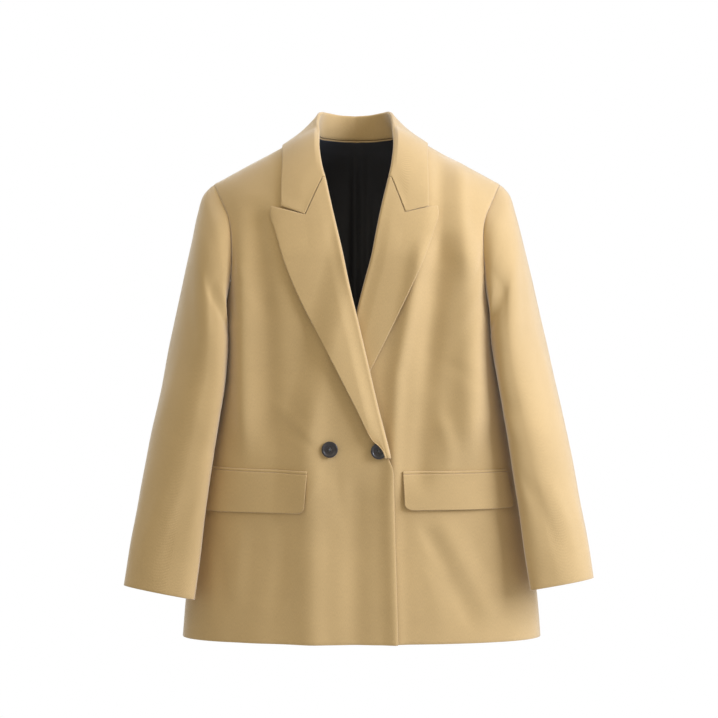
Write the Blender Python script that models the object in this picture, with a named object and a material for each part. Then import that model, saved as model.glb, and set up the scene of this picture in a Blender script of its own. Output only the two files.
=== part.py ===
"""Double breasted blazer, worn shape with no wearer, built from its cut pieces.

Frame: metres, +Z up, the front faces -Y, +X is the wearer's left.  The origin is between
the shoulders, where the wearer's shoulders and neck base hold the garment up.
Every sheet of cloth is a closed wall, and neighbouring pieces stand SEAM apart.
"""
import bpy
import math
import numpy as np
from mathutils import Vector
from mathutils.bvhtree import BVHTree

NAME = "double_breasted_blazer"
MM = 0.001

# ---- cloth and seams, mm -------------------------------------------------------------
CLOTH = 2.0            # wall of one shell panel with its interlining
LAPEL = 2.0            # wall of a lapel or collar leaf
LINING = 1.0           # wall of the satin lining
SEAM = 0.4             # clear distance between two sewn pieces
REST = 0.7             # clear distance where one piece lies on another
FOLDED = 1.5           # clear distance inside a rolled lapel

# ---- body form, mm: rows from the hem up ----------------------------------------------
# height, half_width, front, back, shift, power
SECTIONS = (
    (-725, 275, 113, 114, 7.0, 2.25),
    (-630, 266, 115, 112, 7.0, 2.35),
    (-530, 250, 118, 108, 5.0, 2.70),
    (-430, 229, 122, 104, 5.5, 3.50),
    (-345, 212.5, 126, 108, 5.5, 4.20),
    (-248, 205.5, 127, 116, 1.5, 4.20),
    (-150, 206, 125, 122, 0.0, 3.80),
    (-90, 213, 125, 122, 0.0, 3.40),
    (-38, 226, 125, 122, 0.0, 3.00),
    (90, 240, 125, 122, 0.0, 2.80),
)
CHEST = -150.0         # above this height the panels curve back to the shoulder seam
SHOULDER_X = 221.0     # shoulder point
SHOULDER_Z = -32.0
SLOPE = 0.541          # rise of the shoulder seam per mm towards the neck
BACK_POWER = 2.4       # the back is rounder than the front
FRONT_TURN = 1.55      # power of the curve from chest to shoulder seam
BACK_TURN = 2.6
UNDERARM_Z = -248.0
HEM_Z = -725.0
NECK_X = 66.0          # neck end of the shoulder seam
NECK_BACK = 44.0       # height of the neckline at the centre back
REACH = 280.0          # length that one unit of the lower parameter covers

# ---- armhole: rows from the shoulder point to the underarm ------------------------------
# height, front_x, back_x
ARMHOLE = (
    (-32, 221, 221),
    (-57, 208, 212),
    (-90, 193.5, 201),
    (-128, 188, 195),
    (-165, 187.5, 193),
    (-205, 194, 197),
    (-236, 203, 202),
)

# ---- front edges and roll lines, front view: rows from the hem up ------------------------
# x, z, roll   (roll 0 on the plain front edge, 1 where the cloth folds into the lapel)
TOP_EDGE = (
    (60.5, -725, 0), (58.5, -650, 0), (56, -560, 0), (54, -490, 0), (52.2, -462, 0), (50.3, -445, 1),
    (34, -381, 1), (19.5, -318, 1), (4.5, -253, 1), (-10.5, -190, 1), (-19.5, -146, 1),
    (-28.2, -108, 1), (-36, -75, 1), (-46, -29, 1),
)
UNDER_EDGE = (
    (-60.5, -725, 0), (-60, -650, 0), (-59.5, -560, 0), (-59, -490, 0), (-58, -446, 1),
    (-41, -381, 1), (-24, -318, 1), (-7, -253, 1), (9, -190, 1), (20.8, -146, 1),
    (28.2, -108, 1), (35, -75, 1), (46, -29, 1),
)
# neckline of the fronts from the gorge to the shoulder seam: |x|, z
NECKLINE = ((55, -14), (60, 8), (64.2, 29), (NECK_X, SHOULDER_Z + (SHOULDER_X - NECK_X) * SLOPE))
BACK_NECKLINE = ((0, NECK_BACK), (40, 44.5), (58, 46.5), NECKLINE[-1])

ROLL_R = 4.5           # outer radius of the roll where the lapel turns over
LAP = 11.5             # how far the top front stands out over the under front and lapel
LAP_HEM = 4.6

# ---- lapels, front view: rows from the break up: edge_x, edge_z, lift, roll radius -------
TOP_LAPEL = (
    (41, -447, 0.4, 7.6), (32.5, -425, 1.8, 7.6), (9, -391, 6.0, 6.0), (-25, -326, 7.0, 4.9),
    (-55, -268, 6.0, ROLL_R), (-84, -212, 4.0, ROLL_R), (-108, -153, 2.2, ROLL_R), (-121, -110, 1.0, ROLL_R),
    (-129, -84, 0.8, ROLL_R), (-127.5, -73, 0.8, ROLL_R),
)
UNDER_LAPEL = (
    (-46, -446, 0.0, ROLL_R), (-35, -427, 0.0, ROLL_R), (-16, -390, 0.0, ROLL_R), (19, -318, 1.2, ROLL_R),
    (46, -264, 3.6, ROLL_R), (74, -205, 4.0, ROLL_R), (100, -148, 2.6, ROLL_R), (114, -110, 1.0, ROLL_R),
    (122, -80, 0.8, ROLL_R), (120.5, -71, 0.8, ROLL_R),
)
TOP_NOTCH = (-76.5, -86.5)
UNDER_NOTCH = (71.5, -82.5)

# ---- collar: rows from the centre back to the gorge, mm, for the +X side -----------------
# neck x z, fold x y z, edge x z, roll radius   (fold y above 0 is behind the shoulder seam)
COLLAR = (
    (0, 44, 0, 70, 79, 0, 33, 3.2),
    (26, 46.7, 22, 65, 80, 34, 31, 3.2),
    (48, 48.9, 41, 49, 81.5, 66, 29, 3.2),
    (62, 50.4, 52, 24, 79, 94, 30, 3.2),
    (66, 50.8, 56, 0, 63, 108, 27, 3.2),
    (64.2, 29, 58.5, -33, 37, 108.5, 4, 3.3),
    (59.5, 8, 56.5, -57, 15, 109, -22, 3.6),
    (55, -8, 52.5, -78, -9, 109.5, -48, 4.1),
    (50.9, -28, 50.2, -92, -28, 109.8, -72.5, 4.5),
)
COLLAR_REST = 2.2      # clear distance of the leaf above the panels
COLLAR_SHIFT = -3.0    # the leaf's edge sits this far to the wearer's right
COLLAR_LEG = 2.5       # short leg of the collar inside the turned front
# roll of the collar past the front's neck edge: place on the neck seam, wearer's right, left
OVERHANG = (
    (0.45, 5.0, 8.0), (0.56, 5.0, 8.0), (0.67, 4.0, 6.0), (0.78, 1.6, 3.5),
    (0.89, 0.2, 1.5), (1.0, 0.0, 0.0),
)

# ---- sleeves: rows from the armhole to the cuff, mm --------------------------------------
# outer x z, inner x z, centre_y, half_depth
SLEEVE_RIGHT = (
    (-221, -32, -205, -248, 0, 66),
    (-235, -48, -203, -256, -8, 73),
    (-244, -78, -201, -265, -17, 79),
    (-253, -122, -198, -277, -28, 82),
    (-266, -180, -197, -297, -40, 80),
    (-281.5, -260, -204, -338, -51, 75),
    (-295.5, -340, -214, -398, -60, 68),
    (-313.3, -425, -223, -462, -66, 60),
    (-328, -505, -232, -532, -71, 53),
    (-341.8, -578, -239.5, -602, -73, 47),
    (-351.2, -641, -247, -660, -75, 43),
)
SLEEVE_LEFT = (
    (221, -32, 206, -248, 0, 66),
    (234, -48, 204, -256, -8, 73),
    (243, -78, 202, -265, -17, 79),
    (254, -122, 201, -277, -28, 82),
    (268, -180, 207, -297, -40, 80),
    (285, -260, 218, -338, -51, 75),
    (301.8, -340, 229, -398, -60, 68),
    (320, -425, 238, -462, -66, 59),
    (334.7, -505, 247.5, -530, -71, 51),
    (348.3, -572, 255.5, -594, -73, 45),
    (356.5, -630, 263, -646, -75, 41),
)
SLEEVE_TURN = math.radians(22)   # the sleeve's depth turns out this much towards its back

# ---- pockets in body parameter across, and heights in mm --------------------------------
# q_inner, q_outer, jet_top inner/outer, flap_top inner/outer, flap_bottom inner/outer
POCKET_RIGHT = (-0.215, -0.790, -465.5, -461.5, -470.0, -465.0, -528.0, -527.0)
POCKET_LEFT = (0.172, 0.745, -467.0, -465.5, -471.5, -469.0, -524.0, -522.5)
FLAP_WALL = 2.2
JET_WALL = 1.4
FLAP_CORNER = 9.0
FLAP_W = 155.0

# ---- buttons ---------------------------------------------------------------------------
BUTTON_D = 24.0
BUTTON_H = 3.1
# x, z, clear distance above the cloth
BUTTONS = ((-40.0, -432.9, 0.5), (32.0, -435.6, 0.5))

# ---- main folds of the fronts, front view: soft ridges and troughs ---------------------
# x_top, z_top, x_low, z_low, half_width, height (mm; a trough is below zero)
TOP_FOLDS = ((-67, -340, -66, -720, 21, 5.0), (47, -470, 56, -720, 16, 2.5))      # on the top front only
FOLDS = (
    # wearer's right: long hollow beside the sleeve
    (-152, -70, -136, -240, 18, -7.0),
    (-136, -225, -131, -430, 20, -7.0),
    # wearer's left: ridge that comes out from under the lapel and runs down the front edge
    (96, -130, 58.5, -330, 13, 7.0),
    (60, -318, 50, -518, 12, 5.5),
    (50, -506, 58, -720, 12, 3.5),
    # the hollow outside it, and the swell beside the sleeve
    (128, -120, 104, -330, 17, -7.5),
    (103, -318, 92, -490, 16, -3.5),
    (187, -300, 186, -440, 24, 2.5),
    (130, -390, 138, -470, 14, 1.8),
    # shoulder hollow and ridge
    (128, 20, 123, -150, 14, -5.0),
    (156, 0, 158, -180, 12, 3.5),
    # centre hollow below the buttons
    (-2, -475, -2, -720, 20, -4.5),
    # slanting folds below the pocket
    (96, -545, 176, -700, 14, -2.2),
    (126, -540, 205, -690, 14, 1.8),
    (-150, -540, -178, -715, 22, -1.6),
)
# the same for the backs, seen through from the front
BACK_FOLDS = (
    (64, -300, 92, -720, 24, 4.0),
    (-72, -330, -98, -720, 26, 3.6),
    (128, -290, 160, -720, 19, -3.4),
    (-134, -310, -168, -720, 20, -3.2),
    (18, -390, 26, -720, 20, -2.6),
    (-26, -420, -34, -720, 20, -2.2),
    (122, -95, 98, -250, 18, 2.4),
    (-128, -90, -104, -260, 19, 2.4),
)

ROWS_LOW = 13          # rows from the hem to the underarm
ROWS_HIGH = 10         # rows from the underarm to the shoulder
ROWS_NECK = 5          # those of them on the neckline of a front
COLS_NECK = 4          # columns of a back panel on its neckline
COLS_FRONT = 24
COLS_BACK = 11
UNDER_FRONT = 1        # columns of the under sleeve in front of and behind the underarm
UNDER_BACK = 4


# ======================= curves and the body surface ======================================
def hermite(xs, ys, x):
    """Smooth curve through the table values ys at xs, read at x."""
    xs = np.asarray(xs, float)
    ys = np.asarray(ys, float)
    slope = np.gradient(ys, xs)
    i = np.clip(np.searchsorted(xs, x) - 1, 0, len(xs) - 2)
    h = xs[i + 1] - xs[i]
    t = np.clip((x - xs[i]) / h, 0, 1)
    t2 = t * t
    t3 = t2 * t
    a = (2 * t3 - 3 * t2 + 1) * ys[i] + (t3 - 2 * t2 + t) * h * slope[i]
    b = (3 * t2 - 2 * t3) * ys[i + 1] + (t3 - t2) * h * slope[i + 1]
    return a + b


def path(rows, t, by=None):
    """Smooth path through the rows, t from 0 to 1 by the distance between them."""
    rows = np.asarray(rows, float)
    key = rows if by is None else rows[:, by]
    step = np.linalg.norm(np.diff(key, axis=0), axis=1)
    s = np.concatenate([[0], np.cumsum(step)])
    s /= s[-1]
    t = np.atleast_1d(np.asarray(t, float))
    return np.stack([hermite(s, rows[:, c], t) for c in range(rows.shape[1])], axis=-1)


def smooth(x):
    x = np.clip(x, 0, 1)
    return x * x * (3 - 2 * x)


def section(z):
    table = np.asarray(SECTIONS, float)
    z = np.clip(z, table[0, 0], table[-1, 0])
    return [hermite(table[:, 0], table[:, c], z) for c in range(1, 6)]


def ridge(x):
    """Height of the shoulder seam above the point x, mm."""
    return SHOULDER_Z + (SHOULDER_X - np.sqrt(x * x + 15.0 ** 2)) * SLOPE


def surface(q, k, back=False):
    """Body surface: q from -1 (wearer's right side) to 1, k below 0 under the chest, 1 at the
    shoulder seam."""
    q = np.asarray(q, float)
    k = np.asarray(k, float)
    q, k = np.broadcast_arrays(q, k)
    swing = np.sin(q * math.pi / 2)
    rise = np.sin(np.clip(k, 0, 1) * math.pi / 2)
    z = CHEST + np.minimum(k, 0) * REACH
    for _ in range(6):
        a, f, b, shift, power = section(z)
        x = shift + a * swing
        z = np.where(k > 0, CHEST + (ridge(x) - CHEST) * rise, CHEST + np.minimum(k, 0) * REACH)
    turn = BACK_TURN if back else FRONT_TURN
    if back:
        power = np.minimum(power, BACK_POWER)
    round_in = np.power(np.clip(1 - np.abs(swing) ** power, 0, 1), 1 / power)
    lean = np.sqrt(np.clip(1 - rise ** turn, 0, 1))
    y = (b if back else -f) * round_in * lean
    return np.stack([x, y, z], axis=-1)


def normal(q, k, back=False):
    e = 2e-4
    q = np.clip(q, -1 + 2 * e, 1 - 2 * e)
    k = np.minimum(k, 1 - 2 * e)
    du = surface(q + e, k, back) - surface(q - e, k, back)
    dv = surface(q, k + e, back) - surface(q, k - e, back)
    n = np.cross(du, dv)
    if back:
        n = -n
    return n / np.linalg.norm(n, axis=-1, keepdims=True)


def locate(x, z):
    """Front view position x, z in mm to the surface's q, k."""
    x = np.asarray(x, float)
    z = np.asarray(z, float)
    a, f, b, shift, power = section(z)
    q = np.arcsin(np.clip((x - shift) / a, -1, 1)) * 2 / math.pi
    high = np.arcsin(np.clip((z - CHEST) / (ridge(x) - CHEST), 0, 1)) * 2 / math.pi
    k = np.where(z > CHEST, high, (z - CHEST) / REACH)
    return q, k


def folds(p, table=FOLDS):
    """Height of the fold pattern at the surface points p, mm."""
    out = np.zeros(p.shape[:-1])
    for x1, z1, x2, z2, width, height in table:
        along = np.array([x2 - x1, z2 - z1], float)
        length = np.linalg.norm(along)
        along /= length
        dx = p[..., 0] - x1
        dz = p[..., 2] - z1
        t = (dx * along[0] + dz * along[1]) / length
        away = dx * along[1] - dz * along[0]
        ends = smooth((t + 0.12) / 0.3) * smooth((1.12 - t) / 0.3)
        if z2 < HEM_Z + 20:
            ends = smooth((t + 0.12) / 0.3)
        out += height * ends * np.exp(-(away / width) ** 2)
    return out


def lap(p):
    """How far the top front stands out over the under front."""
    edge = np.asarray(UNDER_EDGE, float)
    hidden = hermite(edge[:, 1], edge[:, 0], np.clip(p[..., 2], HEM_Z, edge[-1, 1]))
    high = LAP_HEM + (LAP - LAP_HEM) * smooth((p[..., 2] + 590) / 140)
    return high * smooth((p[..., 0] - hidden + 68) / 52)


def over(x, turn):
    """q, k and side of the point x across, turn 0 at the chest, 1 on the shoulder, 2 behind."""
    k = np.where(turn > 1, 2 - turn, turn)
    z = CHEST + (ridge(x) - CHEST) * np.sin(np.clip(k, 0, 1) * math.pi / 2)
    a, f, b, shift, power = section(z)
    q = np.arcsin(np.clip((x - shift) / a, -1, 1)) * 2 / math.pi
    return q, k, turn > 1


def on_body(x, turn, out):
    """Points on the body moved out, in front of and behind the shoulder seam."""
    q, k, back = over(x, turn)
    pf, nf = lift(q, k, out)
    pb, nb = lift(q, k, out, back=True)
    return np.where(back[..., None], pb, pf), np.where(back[..., None], nb, nf)


def lift(q, k, out=0.0, back=False, top=False):
    """Point on the body surface moved out by the folds, the lap and the distance out."""
    p = surface(q, k, back)
    n = normal(q, k, back)
    move = np.broadcast_to(out, p.shape[:-1]).astype(float)
    if back:
        move = move + folds(p, BACK_FOLDS) * smooth((1 - np.abs(np.asarray(q))) / 0.12)
    else:
        move = move + folds(p) * smooth((1 - np.asarray(k)) / 0.10)
        if top:
            move = move + lap(p) + folds(p, TOP_FOLDS)
    return p + n * move[..., None], n


# ======================= solids ===========================================================
def material(name, colour, rough, metallic=0.0):
    m = bpy.data.materials.new(name)
    m.use_nodes = True
    s = m.node_tree.nodes["Principled BSDF"]
    s.inputs["Base Color"].default_value = (*colour, 1)
    s.inputs["Roughness"].default_value = rough
    s.inputs["Metallic"].default_value = metallic
    return m


def make(name, verts, faces, mat):
    mesh = bpy.data.meshes.new(name)
    mesh.from_pydata([tuple(float(c) * MM for c in v) for v in verts], [], faces)
    mesh.validate()
    mesh.update()
    mesh.materials.append(mat)
    mesh.shade_smooth()
    mesh.set_sharp_from_angle(angle=math.radians(38))
    ob = bpy.data.objects.new(name, mesh)
    COLL.objects.link(ob)
    return ob


def grid_normals(g):
    du = np.gradient(g, axis=1)
    dv = np.gradient(g, axis=0)
    n = np.cross(du, dv)
    return n / np.maximum(np.linalg.norm(n, axis=-1, keepdims=True), 1e-9)


def inset(g, edge, gap=SEAM / 2):
    """Move one edge of the grid, square to itself, towards its neighbour row or column."""
    a, b = {"left": (g[:, 0], g[:, 1]), "right": (g[:, -1], g[:, -2]),
            "low": (g[0], g[1]), "high": (g[-1], g[-2])}[edge]
    along = np.gradient(a, axis=0)
    along /= np.linalg.norm(along, axis=-1, keepdims=True)
    d = b - a
    d = d - along * np.sum(d * along, axis=-1, keepdims=True)
    a += d / np.linalg.norm(d, axis=-1, keepdims=True) * gap


def wall(name, g, n, thick, mat):
    """Closed wall: outer face on the grid g, inner face thick behind it against n."""
    rows, cols = g.shape[:2]
    inner = g - n * np.asarray(thick, float).reshape(np.shape(thick) + (1,) * (3 - np.ndim(thick)))
    verts = np.concatenate([g.reshape(-1, 3), inner.reshape(-1, 3)])
    k = rows * cols
    faces = []
    for i in range(rows - 1):
        for j in range(cols - 1):
            a = i * cols + j
            quad = (a, a + 1, a + cols + 1, a + cols)
            rise = np.linalg.norm(g[i, j] - g[i + 1, j + 1])
            if np.linalg.norm(g[i, j + 1] - g[i + 1, j]) < rise - 0.01:
                quad = quad[1:] + quad[:1]
            faces.append(quad)
            faces.append(tuple(quad[v] + k for v in (0, 3, 2, 1)))
    rim = list(range(cols)) + [i * cols + cols - 1 for i in range(1, rows)]
    rim += [(rows - 1) * cols + j for j in range(cols - 2, -1, -1)]
    rim += [i * cols for i in range(rows - 2, 0, -1)]
    for a, b in zip(rim, rim[1:] + rim[:1]):
        faces.append((b, a, a + k, b + k))
    ob = make(name, verts, faces, mat)
    if signed_volume(ob.data) < 0:
        ob.data.flip_normals()
    return ob


def signed_volume(mesh):
    mesh.calc_loop_triangles()
    v = np.array([x.co[:] for x in mesh.vertices])
    t = np.array([x.vertices[:] for x in mesh.loop_triangles])
    return float(np.einsum("ij,ij->i", v[t[:, 0]], np.cross(v[t[:, 1]], v[t[:, 2]])).sum() / 6)


# ======================= pieces ===========================================================
def spread(line, back, count):
    """count + 1 points of the x, z line, evenly spaced on the body."""
    fine = path(line, np.linspace(0, 1, 80))
    q, k = locate(fine[:, 0], fine[:, 1])
    step = np.linalg.norm(np.diff(surface(q, k, back), axis=0), axis=1)
    s = np.concatenate([[0], np.cumsum(step)]) / step.sum()
    t = np.linspace(0, 1, count + 1)
    return np.stack([np.interp(t, s, fine[:, 0]), np.interp(t, s, fine[:, 1])], axis=-1)


def edge_curve(rows, side, low, high, neck):
    """Inner edge of a front: the front edge and roll line, then the neckline."""
    rows = np.asarray(rows, float)
    base = rows[:, :2].copy()
    base[:, 0] += side * rows[:, 2] * (ROLL_R + 0.4)
    z = np.concatenate([np.linspace(HEM_Z, UNDERARM_Z, low),
                        np.linspace(UNDERARM_Z, base[-1, 1], high - neck + 1)[1:]])
    lower = np.stack([hermite(base[:, 1], base[:, 0], z), z], axis=-1)
    line = np.concatenate([base[-1:], [(side * x, z) for x, z in NECKLINE]])
    return np.concatenate([lower, spread(line, False, neck)[1:]])


def armhole(count, front=True):
    """Armhole edge from the underarm up to the shoulder point as q, k rows (+X side)."""
    col = 1 if front else 2
    rows = [(1.0, (UNDERARM_Z - CHEST) / REACH)]
    for row in reversed(ARMHOLE[1:]):
        q, k = locate(row[col], row[0])
        rows.append((float(q), float(k)))
    q, k = locate(SHOULDER_X, SHOULDER_Z)
    rows.append((float(q), 1.0))
    rows = np.array(rows)
    pts = surface(rows[:, 0], rows[:, 1], not front)
    full = np.concatenate([rows, pts], axis=1)
    return path(full, np.linspace(0, 1, count + 1), by=slice(2, 5))[:, :2]


def side_curve(side, count_low, count_high, front=True):
    z = np.linspace(HEM_Z, UNDERARM_Z, count_low)
    low = np.stack([np.full_like(z, side), (z - CHEST) / REACH], axis=-1)
    high = armhole(count_high, front)[1:].copy()
    high[:, 0] *= side
    return np.concatenate([low, high])


def front_grid(side, top, cols=COLS_FRONT, low=ROWS_LOW, high=ROWS_HIGH, neck=ROWS_NECK, out=0.0):
    inner = edge_curve(TOP_EDGE if top else UNDER_EDGE, side, low, high, neck)
    q, k = locate(inner[:, 0], inner[:, 1])
    k[-1] = 1.0
    outer = side_curve(side, low, high)
    u = np.linspace(0, 1, cols)
    qq = q[:, None] * (1 - u) + outer[:, :1] * u
    kk = k[:, None] * (1 - u) + outer[:, 1:] * u
    return lift(qq, kk, out, top=top)


def back_grid(side, cols=COLS_BACK, low=ROWS_LOW, high=ROWS_HIGH, neck=COLS_NECK, out=0.0):
    """Back panel from the centre back to the side; its top is the neckline and shoulder."""
    count = low + high
    outer = side_curve(side, low, high, front=False)
    z_mid = np.linspace(HEM_Z, UNDERARM_Z, low)
    neck_k = float(locate(0.0, NECK_BACK)[1])
    mid_k = np.concatenate([(z_mid - CHEST) / REACH,
                            np.linspace((UNDERARM_Z - CHEST) / REACH, neck_k, high + 1)[1:]])
    u = np.linspace(0, 1, cols)
    qq = outer[:, :1] * u
    kk = mid_k[:, None] * (1 - u) + outer[:, 1:] * u
    # top row: neckline to the neck point, then the shoulder seam
    line = spread(BACK_NECKLINE, True, neck)
    q_neck, k_neck = locate(line[:, 0], line[:, 1])
    k_neck[-1] = 1.0
    top_q = np.concatenate([q_neck, np.linspace(q_neck[-1], abs(outer[-1, 0]), cols - neck)[1:]])
    top_k = np.concatenate([k_neck, np.ones(cols - neck - 1)])
    fade = smooth((np.arange(count) - (low - 4)) / (high + 3.0))[:, None]
    qq = qq + (top_q * side - qq[-1]) * fade
    kk = kk + (top_k - kk[-1]) * fade
    return lift(qq, kk, out, back=True)


def build_front(side, top, name, mat):
    g, n = front_grid(side, top)
    inset(g, "right")
    inset(g, "high")
    return wall(name, g, n, CLOTH, mat)


def build_back(side, name, mat):
    g, n = back_grid(side)
    for e in ("left", "right", "high"):
        inset(g, e)
    return wall(name, g, n, CLOTH, mat)


def build_lining(name, mat):
    """Back lining, one wall inside both back panels, with the pleat down the centre back."""
    right, nr = back_grid(-1)
    left, nl = back_grid(1)
    g = np.concatenate([right[:, ::-1], left[:, 1:]], axis=1)
    n = np.concatenate([nr[:, ::-1], nl[:, 1:]], axis=1)
    g = g[1:, ::2]
    n = n[1:, ::2]
    pleat = 2.5 * np.exp(-(g[..., 0] / 9) ** 2)
    g = g - n * (CLOTH + 1.3 + pleat[..., None])
    inset(g, "left", 4.0)
    inset(g, "right", 4.0)
    inset(g, "high", 3.0)
    return wall(name, g, n, LINING, mat)


def lapel_lines(side, top, v, cols):
    """Lapel rows at v from the break to the gorge: the turned edge of the front with its
    frame, and the leaf's columns with their heights above the body."""
    roll = path([r[:2] for r in (TOP_EDGE if top else UNDER_EDGE) if r[2] == 1], v)
    edge = path(TOP_LAPEL if top else UNDER_LAPEL, v, by=slice(0, 2))
    notch = np.array(TOP_NOTCH if top else UNDER_NOTCH, float)
    # the last rows bend down to the notch
    knee = np.linalg.norm(notch - roll[-1])
    knee /= knee + np.linalg.norm(edge[-1, :2] - notch)
    half = (cols + 1) // 2
    u = np.concatenate([np.linspace(0, knee, half), np.linspace(knee, 1, cols - half + 1)[1:]])
    leaf = roll[:, None] * (1 - u[:, None]) + edge[:, None, :2] * u[:, None]
    tent = np.minimum(u / knee, (1 - u) / (1 - knee))
    fade = smooth((v - 0.62) / 0.38) ** 1.5
    drop = notch - roll[-1] * (1 - knee) - edge[-1, :2] * knee
    leaf += drop * (tent[:, None] * fade[:, None, None])
    reach = 1 + (knee - 1) * fade[:, None]
    leaf[..., 0] += side * (ROLL_R + 0.4) * np.maximum(1 - u / reach, 0)
    width = np.linalg.norm(edge[:, :2] - roll, axis=1)[:, None]
    near = smooth(u * width / 22) * (0.45 + 0.55 * u)
    roomy = np.minimum(1, width / 30) * (1.2 if top else 0.5)
    out = edge[:, 3:4] - CLOTH / 2 + edge[:, 2:3] * near + np.sin(np.pi * u) * roomy
    # frame of the turned edge: out of the cloth, and across it past the edge
    x, z = leaf[:, 0, 0], leaf[:, 0, 1]
    p0, _ = lift(*locate(x, z), -CLOTH / 2, top=top)
    behind, _ = lift(*locate(x + side * 4, z), -CLOTH / 2, top=top)
    across = p0 - behind
    across /= np.linalg.norm(across, axis=1, keepdims=True)
    n0 = np.cross(np.gradient(p0, axis=0), across) * side
    n0 /= np.linalg.norm(n0, axis=1, keepdims=True)
    return leaf, out, edge[:, 3:4], p0, n0, across


def turned(p0, n0, across, radius, angles):
    """Points of the roll round a turned edge, from inside (pi) to outside (0)."""
    inner = CLOTH / 2 + FOLDED + LAPEL
    mid = (radius - inner) / 2
    r = (radius + inner) / 2
    return [p0 + n0 * (mid + r * math.cos(b)) + across * r * math.sin(b) for b in angles]


def build_lapel(side, top, name, mat, rows=17, cols=8, arc=4):
    """Lapel: a short leg inside the front, the roll round its edge, and the leaf outside."""
    v = np.linspace(0, 1, rows) ** 0.9
    leaf, out, radius, p0, n0, across = lapel_lines(side, top, v, cols)
    g, n = lift(*locate(leaf[..., 0], leaf[..., 1]), out, top=top)
    inner = CLOTH / 2 + FOLDED + LAPEL
    x, z = leaf[:, 0, 0], leaf[:, 0, 1]
    leg = [lift(*locate(x + side * d, z), -CLOTH / 2 - inner, top=top)[0] for d in (14.0, 7.0)]
    ring = turned(p0, n0, across, radius, np.linspace(math.pi, 0, arc + 2)[:-1])
    full = np.concatenate([np.stack(leg + ring, axis=1), g], axis=1)
    nn = grid_normals(full)
    if np.sum(nn[:, -2] * n[:, -2]) < 0:
        nn = -nn
    nn[:, :2] = -n0[:, None]
    nn[-1, -cols:] = n[-1]
    inset(full, "high")
    return wall(name, full, nn, LAPEL, mat)


def neck_seam(side):
    """Neck seam of one side from the centre back to the gorge: points and normals."""
    gb, nb = back_grid(side)
    gf, nf = front_grid(side, side < 0)
    rows = slice(None, -ROWS_NECK - 2, -1)
    p = np.concatenate([gb[-1, :COLS_NECK + 1], gf[rows, 0][1:]])
    n = np.concatenate([nb[-1, :COLS_NECK + 1], nf[rows, 0][1:]])
    return p, n


def build_collar(name, mat, stand=3, arc=4, leaf=6):
    """One folded wall from gorge to gorge: stand, fold and leaf.  Its rows stand square to
    the neck seam, one at each point of the seam."""
    table = np.asarray(COLLAR, float)
    k = locate(table[:, 5], table[:, 6])[1]
    turn = np.where(table[:, 3] == 0, 1.0, np.where(table[:, 3] > 0, 2 - k, k))
    fine = path(np.column_stack([table, turn]), np.linspace(0, 1, 200), by=slice(2, 5))
    grids = []
    for side in (1, -1):
        seam, seam_n = neck_seam(side)
        rows_n = len(seam)
        tangent = np.gradient(seam, axis=0)
        tangent[0] = (side, 0, 0)
        tangent /= np.linalg.norm(tangent, axis=1, keepdims=True)
        line = fine[:, 2:5] * (side, 1, 1)
        pick = [0]
        for i in range(1, rows_n - 1):
            off = np.abs((line - seam[i]) @ tangent[i])
            pick.append(pick[-1] + 1 + int(np.argmin(off[pick[-1] + 1:])))
        rows = fine[pick + [199]]
        w = np.linspace(0, 1, rows_n)
        slide = 1 - smooth((w - 0.3) / 0.5)
        fold = rows[:, 2:5] * (side, 1, 1) + slide[:, None] * (COLLAR_SHIFT, 0, 0)
        neck = seam - seam_n * CLOTH
        radius = rows[:, 7:8]
        # from standing up at the back of the neck to turned over the front's edge
        across = lapel_lines(side, side < 0, np.array([0.98, 1.0]), 8)[5][-1]
        turned_in = smooth((w - 0.42) / 0.2)[:, None]
        up = square_to(tangent, fold - neck) * (1 - turned_in) + across * turned_in
        up = square_to(tangent, up)
        out_dir = np.cross(up, tangent) * side
        past = np.asarray(OVERHANG, float)
        past = hermite(past[:, 0], past[:, 1 if side < 0 else 2], w)[:, None]
        rolled = seam - seam_n * CLOTH / 2 + up * past - out_dir * radius
        onto = smooth((w - 0.45) / 0.25)[:, None]
        fold = fold * (1 - onto) + rolled * onto
        neck = neck + up * (CLOTH * np.maximum(0, np.sum(seam_n * up, axis=1, keepdims=True)) + 0.7)
        tuck = smooth((w - 0.42) / 0.25)[:, None]
        neck = neck * (1 - tuck) + (fold - up * COLLAR_LEG) * tuck
        cols = [neck + (fold - neck) * s for s in np.linspace(0, 1, stand)]
        for b in np.linspace(0, math.pi, arc + 2)[1:]:
            cols.append(fold + out_dir * radius * (1 - math.cos(b)) + up * radius * math.sin(b))
        start = cols[-1]
        edge, _ = on_body(side * rows[:, 5] + COLLAR_SHIFT, rows[:, 8], COLLAR_REST + LAPEL)
        cols += [start * (1 - s) + edge * s for s in np.linspace(0, 1, leaf + 1)[1:]]
        g = np.stack(cols, axis=1)
        fade = smooth((w - 0.55) / 0.45) ** 1.2
        g += (collar_end(side, stand, arc, leaf)[0] - g[-1]) * fade[:, None, None]
        rest_on(g[:, -leaf:], 1 - smooth((w - 0.8) / 0.2))
        grids.append(g)
    full = np.concatenate([grids[1][::-1], grids[0][1:]], axis=0)
    n = grid_normals(full)
    if n[len(seam) - 1, 0, 1] > 0:
        n = -n
    n[0, -leaf:] = collar_end(-1, stand, arc, leaf)[1]
    n[-1, -leaf:] = collar_end(1, stand, arc, leaf)[1]
    return wall(name, full, n, LAPEL, mat)


def body_tree():
    """Search tree of the body surface near the neck, front and back."""
    q, k = np.meshgrid(np.linspace(-1, 1, 81), np.linspace(-0.1, 1, 45))
    verts, faces = [], []
    for back in (False, True):
        p, _ = lift(q, k, 0.0, back=back)
        base = len(verts)
        verts += [tuple(v) for v in p.reshape(-1, 3)]
        for i in range(44):
            for j in range(80):
                a = base + i * 81 + j
                faces.append((a, a + 1, a + 82, a + 81) if not back else (a + 81, a + 82, a + 1, a))
    return BVHTree.FromPolygons(verts, faces)


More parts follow.
